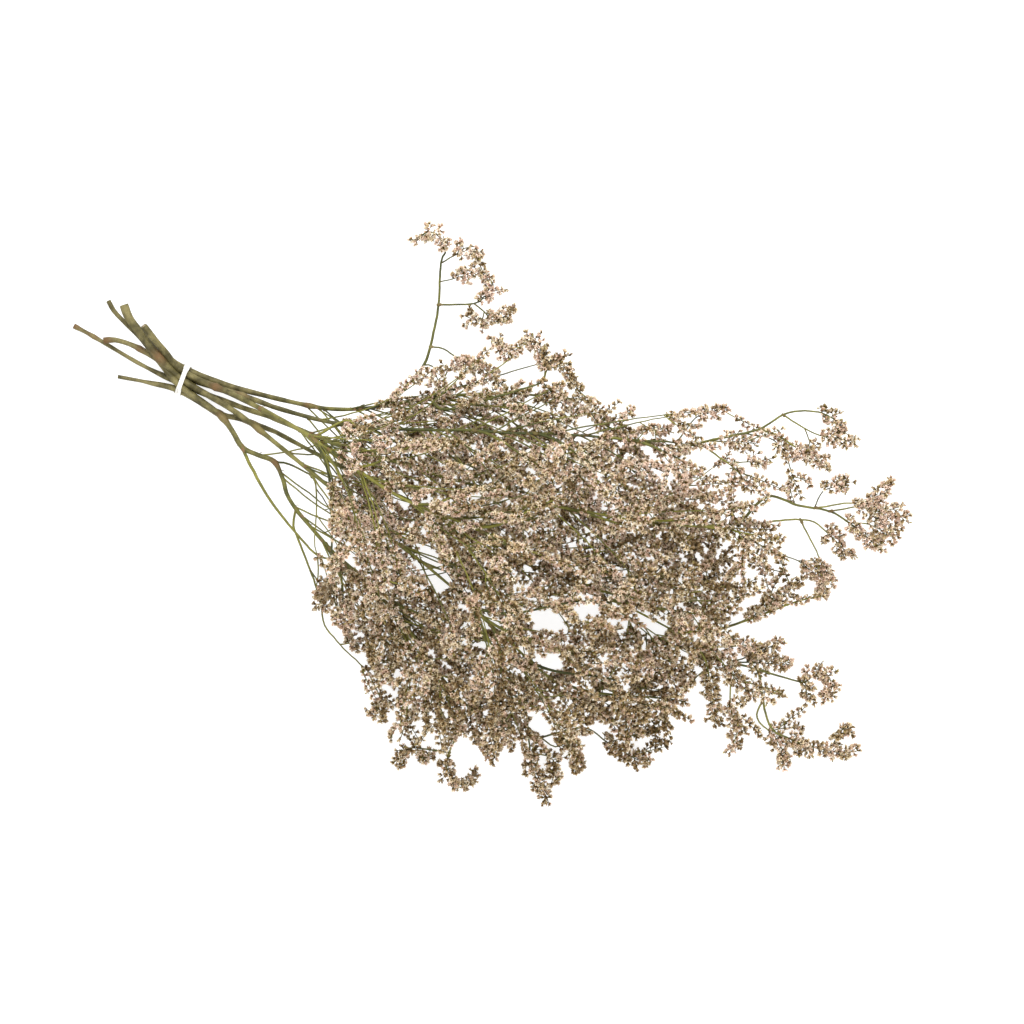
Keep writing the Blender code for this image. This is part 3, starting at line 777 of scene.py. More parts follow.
    def guided(self, bearers: list, radius: float, bare: float, route: tuple,
               rng: random.Random) -> Shoot:
        """A shoot along a given route, from where its root comes nearest to a bearer.

        Args:
            bearers: Shoots that it may leave.
            radius: Its radius at the root.
            bare: Share of its length that bears no flowers.
            route: The route.
            rng: Source of its small unevenness.

        Returns:
            The shoot.
        """
        root = Vector(route[0])
        near = min((point for bearer in bearers for point in bearer.points),
                   key=lambda p: (math.hypot(p.x - root.x, p.y - root.y)
                                  + self.height_counts * abs(p.z - root.z)))
        points = smooth_route((tuple(near), *route[1:]), self.guided_step)
        unsettle(points, range(2, len(points) - 1, 3), self.guided_bend, rng)
        least, share = self.guided_top
        radii = taper(len(points), radius, max(least, radius * share))
        return Shoot(points, radii, UP, Rank.BRANCH, bare, rng.random(), guided=True)

    def thin_branch(self, axis: Shoot, rng: random.Random) -> Shoot:
        """A long thin branch out of the middle of the bunch, which is bare nearly to its tip.

        Args:
            axis: The stem's axis.
            rng: Source of its place, size and direction.

        Returns:
            The branch, which may reach too low or too far.
        """
        start, along = axis.station(rng.uniform(*self.thin_leaves))
        across = square_to(along, Vector((0, 1, 0)))
        angle = rng.choice((-1, 1)) * rng.uniform(*self.thin_angle)
        rise = rng.uniform(*self.thin_rise)
        towards = (along + math.tan(angle) * across + rise * UP).normalized()
        length, arch = rng.uniform(*self.thin_length), self.thin_arch
        bend = rng.uniform(-arch, arch) * across - rng.uniform(0.0, arch) * UP
        count = round(length / self.thin_step)
        points = []
        for n in range(count + 1):
            t = n / count
            ahead = (1 - t) * self.thin_ahead * along
            points.append(start + length * t * (towards + bend * t + ahead))
        unsettle(points, range(2, count, 2), self.thin_bend, rng)
        radii = taper(len(points), *self.thin_radius)
        return Shoot(points, radii, UP, Rank.BRANCH, self.thin_flowering_from,
                     rng.uniform(0.0, self.thin_sap))

    def sprigs(self, bearer: Shoot, rng: random.Random) -> list:
        """Short flowering side shoots, on alternate sides, over the part of a shoot in flower.

        Args:
            bearer: The shoot that they grow from.
            rng: Source of their unevenness.

        Returns:
            The sprigs.
        """
        made, length = [], bearer.length()
        at = bearer.flowering_from * length
        hand, last = 1, self.sprig_points - 1
        longest, shortens = self.sprig_shortens
        while at < length - self.tip_left_free:
            start, along = bearer.station(at / length)
            side = square_to(along, Quaternion(along, rng.uniform(*self.sprig_roll))
                             @ (hand * UP.cross(along) + rng.uniform(*self.sprig_rise) * UP))
            angle = rng.uniform(*self.spike_angle)
            reach = rng.uniform(*self.sprig_length) * (longest - shortens * at / length)
            direction = (math.cos(angle) * along + math.sin(angle) * side).normalized()
            points = [start + direction * reach * n / last - UP * self.sprig_droop * n * n
                      for n in range(last + 1)]
            if min(p.z for p in points) > self.lowest and not in_clearing(points[-2]):
                radii = taper(len(points), *self.sprig_radius)
                made.append(Shoot(points, radii, square_to(direction, side + UP), Rank.SPIKE,
                                  self.sprig_flowering_from, rng.random()))
            at += rng.uniform(*self.sprig_step)
            hand = -hand
        return made

    def spike(self, bearer: Shoot, rng: random.Random) -> Shoot:
        """A flowering side shoot somewhere on its bearer, arched outwards.

        Args:
            bearer: The shoot that it grows from.
            rng: Source of its place, size and direction.

        Returns:
            The spike.
        """
        on_branch = bearer.rank is Rank.BRANCH
        share = rng.uniform(*(self.on_branch if on_branch else self.on_twig))
        if bearer.guided:
            first, last = self.on_branch
            share = rng.uniform(min(max(first, bearer.flowering_from), self.on_guided_from), last)
        start, along = bearer.station(share)
        roll, angle = rng.uniform(0, math.tau), rng.uniform(*self.spike_angle)
        away = Quaternion(along, roll) @ square_to(along, UP)
        direction = (math.cos(angle) * along + math.sin(angle) * away).normalized()
        outer = square_to(direction, away + UP)
        stalk, length = rng.uniform(*self.spike_stalk), rng.uniform(*self.spike_length)
        if not on_branch:
            stalk, length = (a * b for a, b in zip(self.smaller_on_twig, (stalk, length)))
        whole, count = stalk + length, self.spike_pieces
        falls, crowns = self.spike_curve
        points = []
        for n in range(count + 1):
            t = n / count
            bend = self.spike_arch * (falls * t * t - crowns * math.sin(math.pi * t))
            points.append(start + direction * whole * t - outer * bend)
        radii = taper(len(points), self.spike_radius, self.spike_top_radius)
        rank = Rank.TWIG if on_branch else Rank.SPIKE
        return Shoot(points, radii, outer, rank, stalk / whole, rng.random())


@dataclass
class FloretForm:
    """A papery flower: a funnel that opens into five lobes, with a dry scale at its foot."""

    cup: float = 3.0
    cup_sinks: float = 0.4
    rim: tuple = (0.5, 1.15)
    rim_varies: tuple = (0.85, 1.15)
    lobe: float = 1.35
    lobe_varies: tuple = (0.75, 1.15)
    lobe_root: float = 0.85
    lobes: int = 5
    closed_angle: float = math.radians(6)
    open_angle: float = math.radians(66)
    angle_varies: float = 0.35
    scale_length: float = 2.7
    scale_width: float = 1.5
    # How far out the scale's middle and tip stand, as shares of its width
    scale_stands: tuple = (0.6, 0.85)
    # Corner 0 is the foot, 1 to 5 the rim, 6 to 10 the tips of the lobes and 11 to 13 the scale
    corners_in_all: int = 14
    # Margin of a cell of the map, and the width used
    used_of_cell: tuple = (0.04, 0.92)
    # The scale's place past the lobes there, half and whole width, and heights of middle and tip
    scale_on_map: tuple = (0.15, 0.35, 0.7, 0.45, 0.9)
    triangles: np.ndarray = field(init=False)
    corners: np.ndarray = field(init=False)

    def __post_init__(self) -> None:
        """Lists the triangles of one flower, and where their corners lie on the flower map."""
        faces, corners = [], []
        for k in range(self.lobes):
            ring, after, tip = 1 + k, 1 + (k + 1) % self.lobes, 6 + k
            low, high = self.on_map(k, 0.5), self.on_map(k + 1, 0.5)
            faces.append((0, after, ring))
            corners.append((self.on_map(k + 0.5, 0.0), high, low))
            faces.append((ring, after, tip))
            corners.append((low, high, self.on_map(k + 0.5, 1.0)))
        past, half, whole, middle, top = self.scale_on_map
        side = self.lobes + past
        foot, end = self.on_map(side + half, 0.0), self.on_map(side + half, top)
        left, right = self.on_map(side, middle), self.on_map(side + whole, middle)
        faces += [(0, 11, 12), (11, 13, 12)]
        corners += [(foot, left, right), (left, end, right)]
        self.triangles = np.array(faces, np.int32)
        self.corners = np.array(corners, np.float32)

    def on_map(self, sector: float, rise: float) -> tuple[float, float]:
        """A place in a cell of the map, kept clear of the cell's edge.

        Args:
            sector: Place round the flower, in lobes, the scale coming after the last.
            rise: Height on the flower, from 0 at its foot to 1 at its tips.

        Returns:
            Its place across and up the cell.
        """
        margin, used = self.used_of_cell
        return margin + used * sector / (self.lobes + 1), margin + used * rise

    def shaped(self, count: int, openness: np.ndarray, rng: np.random.Generator) -> np.ndarray:
        """The vertices of many flowers, each standing on the origin and facing along Z.

        Args:
            count: Number of flowers.
            openness: How far each one is open, from 0 to 1.
            rng: Source of the unevenness of their lobes.

        Returns:
            An array of the flowers, their vertices and the three coordinates.
        """
        made = np.zeros((count, self.corners_in_all, 3))
        turn = np.arange(self.lobes) * math.tau / self.lobes
        half = turn + math.pi / self.lobes
        rim = self.rim[0] + (self.rim[1] - self.rim[0]) * openness[:, None]
        rim = rim * rng.uniform(*self.rim_varies, (count, self.lobes))
        made[:, 1:6, 0], made[:, 1:6, 1] = rim * np.cos(turn), rim * np.sin(turn)
        made[:, 1:6, 2] = self.cup - self.cup_sinks * openness[:, None]
        lean = self.closed_angle + (self.open_angle - self.closed_angle) * openness[:, None]
        lean = lean + rng.uniform(-self.angle_varies, self.angle_varies, (count, self.lobes))
        length = self.lobe * rng.uniform(*self.lobe_varies, (count, self.lobes))
        out = rim.mean(1, keepdims=True) * self.lobe_root + length * np.sin(lean)
        made[:, 6:11, 0], made[:, 6:11, 1] = out * np.cos(half), out * np.sin(half)
        made[:, 6:11, 2] = self.cup - self.cup_sinks * openness[:, None] + length * np.cos(lean)
        wide, (middle, tip) = self.scale_width, self.scale_stands
        made[:, 11, 0], made[:, 11, 1] = middle * wide, 0.5 * wide
        made[:, 12, 0], made[:, 12, 1] = middle * wide, -0.5 * wide
        made[:, 11:13, 2] = 0.5 * self.scale_length
        made[:, 13, 0], made[:, 13, 2] = tip * wide, self.scale_length
        return made


@dataclass
class Flowers:
    """Where the flowers of a stem stand, gathered cluster by cluster, and their stalks."""

    form: FloretForm
    cluster_step: float = 2.3
    per_cluster: tuple = (4, 6)
    # How near the edge of the bunch clusters have a flower fewer
    sparse_beyond: float = 0.2
    # A cluster's stalk, and the share of its length that it starts with and loses to the tip
    cluster_stalk: tuple = (0.9, 2.8)
    stalk_shortens: tuple = (1.15, 0.5)
    # How clusters stand aside of the shoot, and lean along it and at its end
    splay: float = math.radians(42)
    lean: tuple = (0.15, 0.6)
    end_lean: float = 2.2
    # How the flowers of a cluster fan out, and how deep and how unevenly they sit
    fan: float = 0.58
    sunk: float = 0.25
    set_back: tuple = (-0.9, 0.7)
    size: tuple = (0.78, 1.16)
    # Middle and spread of how open they are
    openness: tuple = (0.55, 0.28)
    above_table: float = 0.15
    # How many places stand for a shoot's flowers, and how far they are from the shoot
    samples: int = 6
    sample_stands: float = 3.0
    # Column of the flower map, from dark to pale, and what a shoot's own drift adds to it
    column: float = 3.3
    column_drift: float = 1.3
    # What each millimetre across and along the bunch, and the way to its edge, add
    column_across: float = 0.010
    column_along: float = -0.005
    # Painted light: flowers towards the edge are paler, those in the thick darker as painted
    # shade
    painted_light_to_edge: float = 1.5
    column_spread: float = 1.6
    # Slow waves of tone over the bunch: their turn to a millimetre along and across, and start
    tone_waves: tuple = ((0.031, 0.0, 1.2), (0.0, 0.043, 0.4), (0.017, 0.017, 0.0))
    tone_wave_share: float = 0.16
    tone_across: float = 0.008
    tone_drift: float = 0.24
    # Tones above which a flower is cream, tan or withered, and the openness below which a bud
    cream_from: float = 0.34
    tan_from: float = 0.68
    withered_from: float = 0.93
    bud_until: float = 0.12
    bases: list = field(default_factory=list)
    directions: list = field(default_factory=list)
    drifts: list = field(default_factory=list)
    stalks: list = field(default_factory=list)

    def places(self, shoot: Shoot) -> list:
        """A few places that stand for the flowers a shoot would bear.

        Args:
            shoot: The shoot.

        Returns:
            The places.
        """
        found = []
        for n in range(self.samples):
            share = shoot.flowering_from + (1 - shoot.flowering_from) * (n + 0.5) / self.samples
            place, along = shoot.station(share)
            found.append(place + square_to(along, shoot.outer) * self.sample_stands)
        return found

    def cover_shoot(self, shoot: Shoot, rng: random.Random) -> None:
        """Sets clusters of flowers in two rows along the flowering part of a shoot.

        Args:
            shoot: The shoot that bears them.
            rng: Source of their unevenness.
        """
        length = shoot.length()
        begin = shoot.flowering_from * length
        count = max(3, round((length - begin) / self.cluster_step))
        held = frames_along(shoot.points, shoot.outer)
        drift = rng.gauss(0, self.tone_drift), rng.gauss(0, 1.0)
        longest, shortens = self.stalk_shortens
        for n in range(count + 1):
            share = (begin + (length - begin) * n / count) / length
            place, along = shoot.station(share)
            outer = square_to(along, held[min(int(share * len(held)), len(held) - 1)][1])
            last = n == count
            hand = 1 if n % 2 else -1
            aside = hand * math.sin(self.splay) * along.cross(outer)
            lean = self.end_lean if last else rng.uniform(*self.lean)
            main = (math.cos(self.splay) * outer + aside + lean * along).normalized()
            stalk = rng.uniform(*self.cluster_stalk) * (longest - shortens * share)
            head = place + main * stalk
            self.stalks.append((place, head))
            fewer = 1 if towards_edge(place.x, place.y) > self.sparse_beyond else 0
            for _ in range(rng.randint(*self.per_cluster) - fewer):
                spread = Vector([rng.gauss(0, self.fan) for _ in range(3)])
                direction = (main + spread).normalized()
                self.bases.append(
                    head - direction * self.sunk + main * rng.uniform(*self.set_back))
                self.directions.append(direction)
                self.drifts.append(drift)

    def pile(self, seed: int) -> Pile:
        """Builds every flower gathered so far.

        Args:
            seed: Seed of the flowers' sizes, turns and tones.

        Returns:
            The flowers as one pile, with their places on the flower map.
        """
        rng = np.random.default_rng(seed)
        base, facing = np.array(self.bases), np.array(self.directions)
        count = len(base)
        openness = np.clip(rng.normal(*self.openness, count), 0, 1)
        local = self.form.shaped(count, openness, rng)
        spin = rng.uniform(0, math.tau, count)
        helper = np.where(np.abs(facing[:, 2:]) < 0.9, [[0.0, 0.0, 1.0]], [[1.0, 0.0, 0.0]])
        first = np.cross(helper, facing)
        first /= np.linalg.norm(first, axis=1, keepdims=True)
        second = np.cross(facing, first)
        right = np.cos(spin)[:, None] * first + np.sin(spin)[:, None] * second
        back = np.cross(facing, right)
        basis = np.stack([right, back, facing], 1)
        grown = rng.uniform(*self.size, count)[:, None, None]
        places = base[:, None] + np.einsum("nvi,nij->nvj", local * grown, basis)
        places[..., 2] = np.maximum(places[..., 2], self.above_table)
        row = self.rows(base, openness, rng)
        # The column: random tone, painted light towards the edge, painted shade in the thick
        brightness = (self.column + self.column_drift * np.array(self.drifts)[:, 1]
                      + self.column_across * base[:, 1] + self.column_along * base[:, 0]
                      + self.painted_light_to_edge * towards_edge(base[:, 0], base[:, 1])
                      + rng.normal(0, self.column_spread, count))
        column = np.clip(brightness, 0, TONE_CELLS - 1).astype(int)
        cells = np.stack([column, row], 1)[:, None, None]
        corners = (self.form.corners[None] + cells) / TONE_CELLS
        steps = (np.arange(count) * local.shape[1])[:, None, None]
        made = Pile()
        made.add(places.reshape(-1, 3), (self.form.triangles[None] + steps).reshape(-1, 3),
                 corners=corners)
        return made

    def rows(self, base: np.ndarray, openness: np.ndarray,
             rng: np.random.Generator) -> np.ndarray:
        """The row of the flower map that each flower takes its tone from.

        Args:
            base: Where the flowers stand.
            openness: How far each one is open.
            rng: Source of the mixture.

        Returns:
            A row number for each flower.
        """
        waves = sum(np.sin(base[:, 0] * along + base[:, 1] * across + start)
                    for along, across, start in self.tone_waves)
        drift = waves / len(self.tone_waves) - self.tone_across * base[:, 1]
        chance = (rng.random(len(base)) + self.tone_wave_share * drift
                  + np.array(self.drifts)[:, 0])
        row = np.where(chance < self.cream_from, Tone.ROSY.value, Tone.CREAM.value)
        row = np.where(chance > self.tan_from, Tone.TAN.value, row)
        row = row + rng.integers(0, 2, len(base))
        row = np.where(chance > self.withered_from, Tone.WITHERED.value, row)
        return np.where(openness < self.bud_until, Tone.BUD.value, row)


def new_material(name: str) -> tuple[bpy.types.Material, bpy.types.NodeTree, bpy.types.Node]:
    """A material with its nodes.

    Args:
        name: Its name.

    Returns:
        The material, its node tree and its shader.
    """
    material = bpy.data.materials.new(name)
    material.use_nodes = True
    tree = material.node_tree
    return material, tree, tree.nodes["Principled BSDF"]


def math_node(tree: bpy.types.NodeTree, operation: str, first: object,
              second: float | bpy.types.NodeSocket = 0.0) -> bpy.types.NodeSocket:
    """Adds a Math node.

    Args:
        tree: Tree to add it to.
        operation: What it does.
        first: Its first input, a socket or a number.
        second: Its second input, a socket or a number.

    Returns:
        Its output.
    """
    node = tree.nodes.new("ShaderNodeMath")
    node.operation = operation
    for socket, value in zip(node.inputs, (first, second)):
        if isinstance(value, bpy.types.NodeSocket):
            tree.links.new(value, socket)
        else:
            socket.default_value = value
    return node.outputs[0]


def ramp_node(tree: bpy.types.NodeTree, source: bpy.types.NodeSocket, stops: tuple,
              stepped: bool = False) -> bpy.types.NodeSocket:
    """Adds a colour ramp.

    Args:
        tree: Tree to add it to.
        source: What it reads.
        stops: Pairs of place and colour, in order.
        stepped: Whether each colour holds until the next.

    Returns:
        Its colour output.
    """
    node = tree.nodes.new("ShaderNodeValToRGB")
    ramp = node.color_ramp
    ramp.interpolation = "CONSTANT" if stepped else "LINEAR"
    while len(ramp.elements) < len(stops):
        ramp.elements.new(1.0)
    for element, (place, colour) in zip(ramp.elements, stops):
        element.position, element.color = place, (*colour, 1.0)
    tree.links.new(source, node.inputs["Fac"])
    return node.outputs["Color"]


def mix_node(tree: bpy.types.NodeTree, blend: str, factor: float | bpy.types.NodeSocket,
             first: bpy.types.NodeSocket | tuple,
             second: bpy.types.NodeSocket | tuple) -> bpy.types.NodeSocket:
    """Adds a colour Mix node.

    Args:
        tree: Tree to add it to.
        blend: How the colours blend.
        factor: Share of the second colour.
        first: First colour, or a socket.
        second: Second colour, or a socket.

    Returns:
        Its colour output.
    """
    node = tree.nodes.new("ShaderNodeMix")
    node.data_type, node.blend_type = "RGBA", blend
    for socket, value in zip((node.inputs[0], node.inputs[6], node.inputs[7]),
                             (factor, first, second)):
        if isinstance(value, bpy.types.NodeSocket):
            tree.links.new(value, socket)
        elif isinstance(value, tuple):
            socket.default_value = (*value, 1.0)
        else:
            socket.default_value = value
    return node.outputs[2]


def dry_mottle() -> bpy.types.NodeTree:
    """The shared effect of drying: cloudy blotches over a fine grain.

    Returns:
        A group with a Vector, Scale and Contrast input, and Mask, Grain and Height outputs.
    """
    cloud_detail, grain_detail, grain_finer = 4.0, 2.0, 5.0
    steepness, cloud_height, grain_height = 3.0, 0.6, 0.4
    name = "dry_mottle"
    if name in bpy.data.node_groups:
        return bpy.data.node_groups[name]
    tree = bpy.data.node_groups.new(name, "ShaderNodeTree")
    tree.interface.new_socket("Vector", in_out="INPUT", socket_type="NodeSocketVector")
    for label, value in (("Scale", 60.0), ("Contrast", 1.0)):
        socket = tree.interface.new_socket(label, in_out="INPUT", socket_type="NodeSocketFloat")
        socket.default_value = value
    for label in ("Mask", "Grain", "Height"):
        tree.interface.new_socket(label, in_out="OUTPUT", socket_type="NodeSocketFloat")
    given = tree.nodes.new("NodeGroupInput")
    result = tree.nodes.new("NodeGroupOutput")
    cloud = tree.nodes.new("ShaderNodeTexNoise")
    cloud.inputs["Detail"].default_value = cloud_detail
    grain = tree.nodes.new("ShaderNodeTexNoise")
    grain.inputs["Detail"].default_value = grain_detail
    tree.links.new(given.outputs["Vector"], cloud.inputs["Vector"])
    tree.links.new(given.outputs["Vector"], grain.inputs["Vector"])
    tree.links.new(given.outputs["Scale"], cloud.inputs["Scale"])
    tree.links.new(math_node(tree, "MULTIPLY", given.outputs["Scale"], grain_finer),
                   grain.inputs["Scale"])
    centred = math_node(tree, "SUBTRACT", cloud.outputs["Fac"], 0.5)
    spread = math_node(tree, "MULTIPLY", centred, math_node(
        tree, "MULTIPLY", given.outputs["Contrast"], steepness))
    mask = tree.nodes.new("ShaderNodeClamp")
    tree.links.new(math_node(tree, "ADD", spread, 0.5), mask.inputs["Value"])
    height = math_node(
        tree, "ADD", math_node(tree, "MULTIPLY", cloud.outputs["Fac"], cloud_height),
        math_node(tree, "MULTIPLY", grain.outputs["Fac"], grain_height))
    tree.links.new(mask.outputs[0], result.inputs["Mask"])
    tree.links.new(grain.outputs["Fac"], result.inputs["Grain"])
    tree.links.new(height, result.inputs["Height"])
    return tree


def mottle_node(tree: bpy.types.NodeTree, vector: bpy.types.NodeSocket, scale: float,
                contrast: float = 1.0) -> bpy.types.Node:
    """Places the dry mottle in a material.

    Args:
        tree: The material's tree.
        vector: Coordinates it reads.
        scale: Blotches to a unit of those coordinates.
        contrast: How marked they are.

    Returns:
        The group's node.
    """
    node = tree.nodes.new("ShaderNodeGroup")
    node.node_tree = dry_mottle()
    tree.links.new(vector, node.inputs["Vector"])
    node.inputs["Scale"].default_value = scale
    node.inputs["Contrast"].default_value = contrast
    return node


def add_bump(tree: bpy.types.NodeTree, shader: bpy.types.Node, height: bpy.types.NodeSocket,
             distance: float, strength: float) -> None:
    """Feeds a height to a shader's normal through a Bump node.

    Args:
        tree: The material's tree.
        shader: The shader.
        height: The height.
        distance: Depth of the bumps in metres.
        strength: Strength of the bumps.
    """
    bump = tree.nodes.new("ShaderNodeBump")
    bump.inputs["Distance"].default_value = distance
    bump.inputs["Strength"].default_value = strength
    tree.links.new(height, bump.inputs["Height"])
    tree.links.new(bump.outputs["Normal"], shader.inputs["Normal"])


@dataclass(frozen=True)
class PetalFinish:
    """Papery flowers: creamy lobes, an olive brown funnel with painted shade at its foot, a brown
    scale.
    """

    # Foot and cup: the dry funnel's own brown, darkened deep in the funnel as painted shade
    foot: tuple = (0.050, 0.030, 0.008)
    cup: tuple = (0.152, 0.090, 0.028)
    cup_rim: tuple = (0.44, 0.335, 0.20)
    lobe: tuple = (0.81, 0.725, 0.60)
    lobe_edge: tuple = (0.94, 0.885, 0.79)
    scale: tuple = (0.088, 0.058, 0.012)
    # Heights on a flower of the first five colours, and the place across from which it is scale
    heights: tuple = (0.04, 0.20, 0.36, 0.48, 0.80)
    scale_from: float = 0.825
    # Tint of each row of the flower map, and shade of its columns from dark to pale
    tints: tuple = (
        (0.0, (1.0, 0.89, 0.86)), (0.12, (0.86, 0.70, 0.66)), (0.245, (1.0, 1.0, 0.95)),
        (0.37, (0.98, 0.94, 0.80)), (0.495, (0.81, 0.715, 0.53)), (0.62, (0.60, 0.50, 0.33)),
        (0.745, (0.34, 0.26, 0.15)), (0.87, (0.45, 0.42, 0.17)))
    # Columns: random tone, painted shade in the bunch's thick and painted light at its edge
    tones_and_painted_light: tuple = (
        (0.0, (0.78, 0.735, 0.655)), (0.5, (1.0, 1.0, 1.0)), (0.9, (1.04, 1.09, 1.15)))
    # Ribs: their number across a cell, colours from the middle of each outwards, and strength
    ribs: float = 6.0
    rib_colours: tuple = ((0.0, (0.60, 0.53, 0.44)), (0.07, (1.0, 1.0, 1.0)))
    rib_strength: float = 0.6
    # Blotches: their number to a cell and contrast, their colour and their strength
    blotches: tuple = (5.0, 1.2)
    blotch: tuple = (0.62, 0.52, 0.40)
    blotch_strength: float = 0.45
    roughness: float = 0.82
    shine: float = 0.25
    relief: tuple = (0.0003, 0.5)

    def material(self) -> bpy.types.Material:
        """Builds the finish.

        Returns:
            The material, whose pattern lies on the flower map.
        """
        material, tree, shader = new_material("papery_flower")
        layer = tree.nodes.new("ShaderNodeUVMap")
        layer.uv_map = FLOWER_MAP
        cells = tree.nodes.new("ShaderNodeVectorMath")
        cells.operation = "SCALE"
        cells.inputs["Scale"].default_value = TONE_CELLS
        tree.links.new(layer.outputs["UV"], cells.inputs[0])
        split = tree.nodes.new("ShaderNodeSeparateXYZ")
        tree.links.new(cells.outputs[0], split.inputs[0])
        across = math_node(tree, "FRACT", split.outputs["X"])
        rise = math_node(tree, "FRACT", split.outputs["Y"])
        row = math_node(tree, "DIVIDE", math_node(tree, "FLOOR", split.outputs["Y"]), TONE_CELLS)
        column = math_node(tree, "DIVIDE", math_node(tree, "FLOOR", split.outputs["X"]),
                           TONE_CELLS)
        colours = (self.foot, self.cup, self.cup_rim, self.lobe, self.lobe_edge)
        colour = ramp_node(tree, rise, tuple(zip(self.heights, colours)))
        tint = ramp_node(tree, row, self.tints, stepped=True)
        colour = mix_node(tree, "MULTIPLY", 1.0, colour, tint)
        shade = ramp_node(tree, column, self.tones_and_painted_light)
        colour = mix_node(tree, "MULTIPLY", 1.0, colour, shade)
        ribs = math_node(tree, "FRACT", math_node(tree, "MULTIPLY", across, self.ribs))
        middle = math_node(tree, "ABSOLUTE", math_node(tree, "SUBTRACT", ribs, 0.5))
        rib = ramp_node(tree, middle, self.rib_colours)
        colour = mix_node(tree, "MULTIPLY", self.rib_strength, colour, rib)
        mottle = mottle_node(tree, cells.outputs[0], *self.blotches)
        blotch = mix_node(tree, "MULTIPLY", math_node(
            tree, "MULTIPLY", mottle.outputs["Mask"], self.blotch_strength), colour, self.blotch)
        scale_side = math_node(tree, "GREATER_THAN", across, self.scale_from)
        colour = mix_node(tree, "MIX", scale_side, blotch, self.scale)
        tree.links.new(colour, shader.inputs["Base Color"])
        shader.inputs["Roughness"].default_value = self.roughness
        shader.inputs["Specular IOR Level"].default_value = self.shine
        add_bump(tree, shader, mottle.outputs["Height"], *self.relief)
        return material


@dataclass(frozen=True)
class StemFinish:
    """Dry stems: grey olive wood near the cut ends, greener thin shoots and rusty nodes."""

    wood: tuple = (0.196, 0.168, 0.067)
    wood_dark: tuple = (0.058, 0.049, 0.013)
    green: tuple = (0.215, 0.205, 0.036)
    green_dark: tuple = (0.048, 0.054, 0.013)
    rust: tuple = (0.168, 0.088, 0.034)
    pith: tuple = (0.40, 0.31, 0.19)
    # Blotches and fine streaks to a metre, and their contrast
    blotches: tuple = (95.0, 1.5)
    streaks: tuple = (700.0, 0.8)
    # How far the blotches change a green shoot, and where they let rust show
    blotch_strength: float = 0.5
    rust_shows: tuple = ((0.1, (0.35, 0.35, 0.35)), (0.7, (1.0, 1.0, 1.0)))
    flecks: tuple = ((0.35, (0.62, 0.60, 0.55)), (0.62, (1.12, 1.12, 1.10)))
    fleck_strength: float = 0.75
    roughness: float = 0.62
    shine: float = 0.35
    relief: tuple = (0.0004, 0.6)

    def material(self) -> bpy.types.Material:
        """Builds the finish.

        Returns:
            The material, which reads the age, sap, rust and cut marks of the stems.
        """
        material, tree, shader = new_material("dry_stem")
        marks = {}
        for name in ("age", "sap", "rust", "cut"):
            node = tree.nodes.new("ShaderNodeAttribute")
            node.attribute_name = name
            marks[name] = node.outputs["Fac"]
        place = tree.nodes.new("ShaderNodeTexCoord").outputs["Object"]
        mottle = mottle_node(tree, place, *self.blotches)
        streaks = mottle_node(tree, place, *self.streaks)
        wood = mix_node(tree, "MIX", mottle.outputs["Mask"], self.wood, self.wood_dark)
        centred = math_node(tree, "SUBTRACT", mottle.outputs["Mask"], 0.5)
        tone = math_node(tree, "ADD", marks["sap"], math_node(
            tree, "MULTIPLY", centred, self.blotch_strength))
        green = mix_node(tree, "MIX", tone, self.green, self.green_dark)
        colour = mix_node(tree, "MIX", marks["age"], wood, green)
        fleck = ramp_node(tree, streaks.outputs["Grain"], self.flecks)
        colour = mix_node(tree, "MULTIPLY", self.fleck_strength, colour, fleck)
        rusty = math_node(tree, "MULTIPLY", marks["rust"], ramp_node(
            tree, mottle.outputs["Mask"], self.rust_shows))
        colour = mix_node(tree, "MIX", rusty, colour, self.rust)
        colour = mix_node(tree, "MIX", marks["cut"], colour, self.pith)
        tree.links.new(colour, shader.inputs["Base Color"])
        shader.inputs["Roughness"].default_value = self.roughness
        shader.inputs["Specular IOR Level"].default_value = self.shine
        add_bump(tree, shader, streaks.outputs["Height"], *self.relief)
        return material


@dataclass(frozen=True)
class ElasticFinish:
    """White elastic: fine ribs across the band and faint grey soiling."""

    colour: tuple = (0.88, 0.875, 0.85)
    soiled: tuple = (0.70, 0.68, 0.63)
    soiling: tuple = (220.0, 0.9)
    ribs_to_a_metre: float = 2600.0
    rib_waver: float = 0.6
    rib_colours: tuple = ((0.0, (0.86, 0.86, 0.85)), (0.5, (1.0, 1.0, 1.0)))
    rib_strength: float = 0.8
    roughness: float = 0.55
    relief: tuple = (0.0002, 0.5)

    def material(self) -> bpy.types.Material:
        """Builds the finish.

        Returns:
            The material.
        """
        material, tree, shader = new_material("white_elastic")
        place = tree.nodes.new("ShaderNodeTexCoord").outputs["Object"]
        mottle = mottle_node(tree, place, *self.soiling)
        colour = mix_node(tree, "MIX", mottle.outputs["Mask"], self.colour, self.soiled)
        ribs = tree.nodes.new("ShaderNodeTexWave")
        ribs.bands_direction = "X"
        ribs.inputs["Scale"].default_value = self.ribs_to_a_metre / math.tau
        ribs.inputs["Distortion"].default_value = self.rib_waver
        tree.links.new(place, ribs.inputs["Vector"])
        ridge = ramp_node(tree, ribs.outputs["Fac"], self.rib_colours)
        tree.links.new(mix_node(tree, "MULTIPLY", self.rib_strength, colour, ridge),
                       shader.inputs["Base Color"])
        shader.inputs["Roughness"].default_value = self.roughness
        add_bump(tree, shader, ribs.outputs["Fac"], *self.relief)
        return material


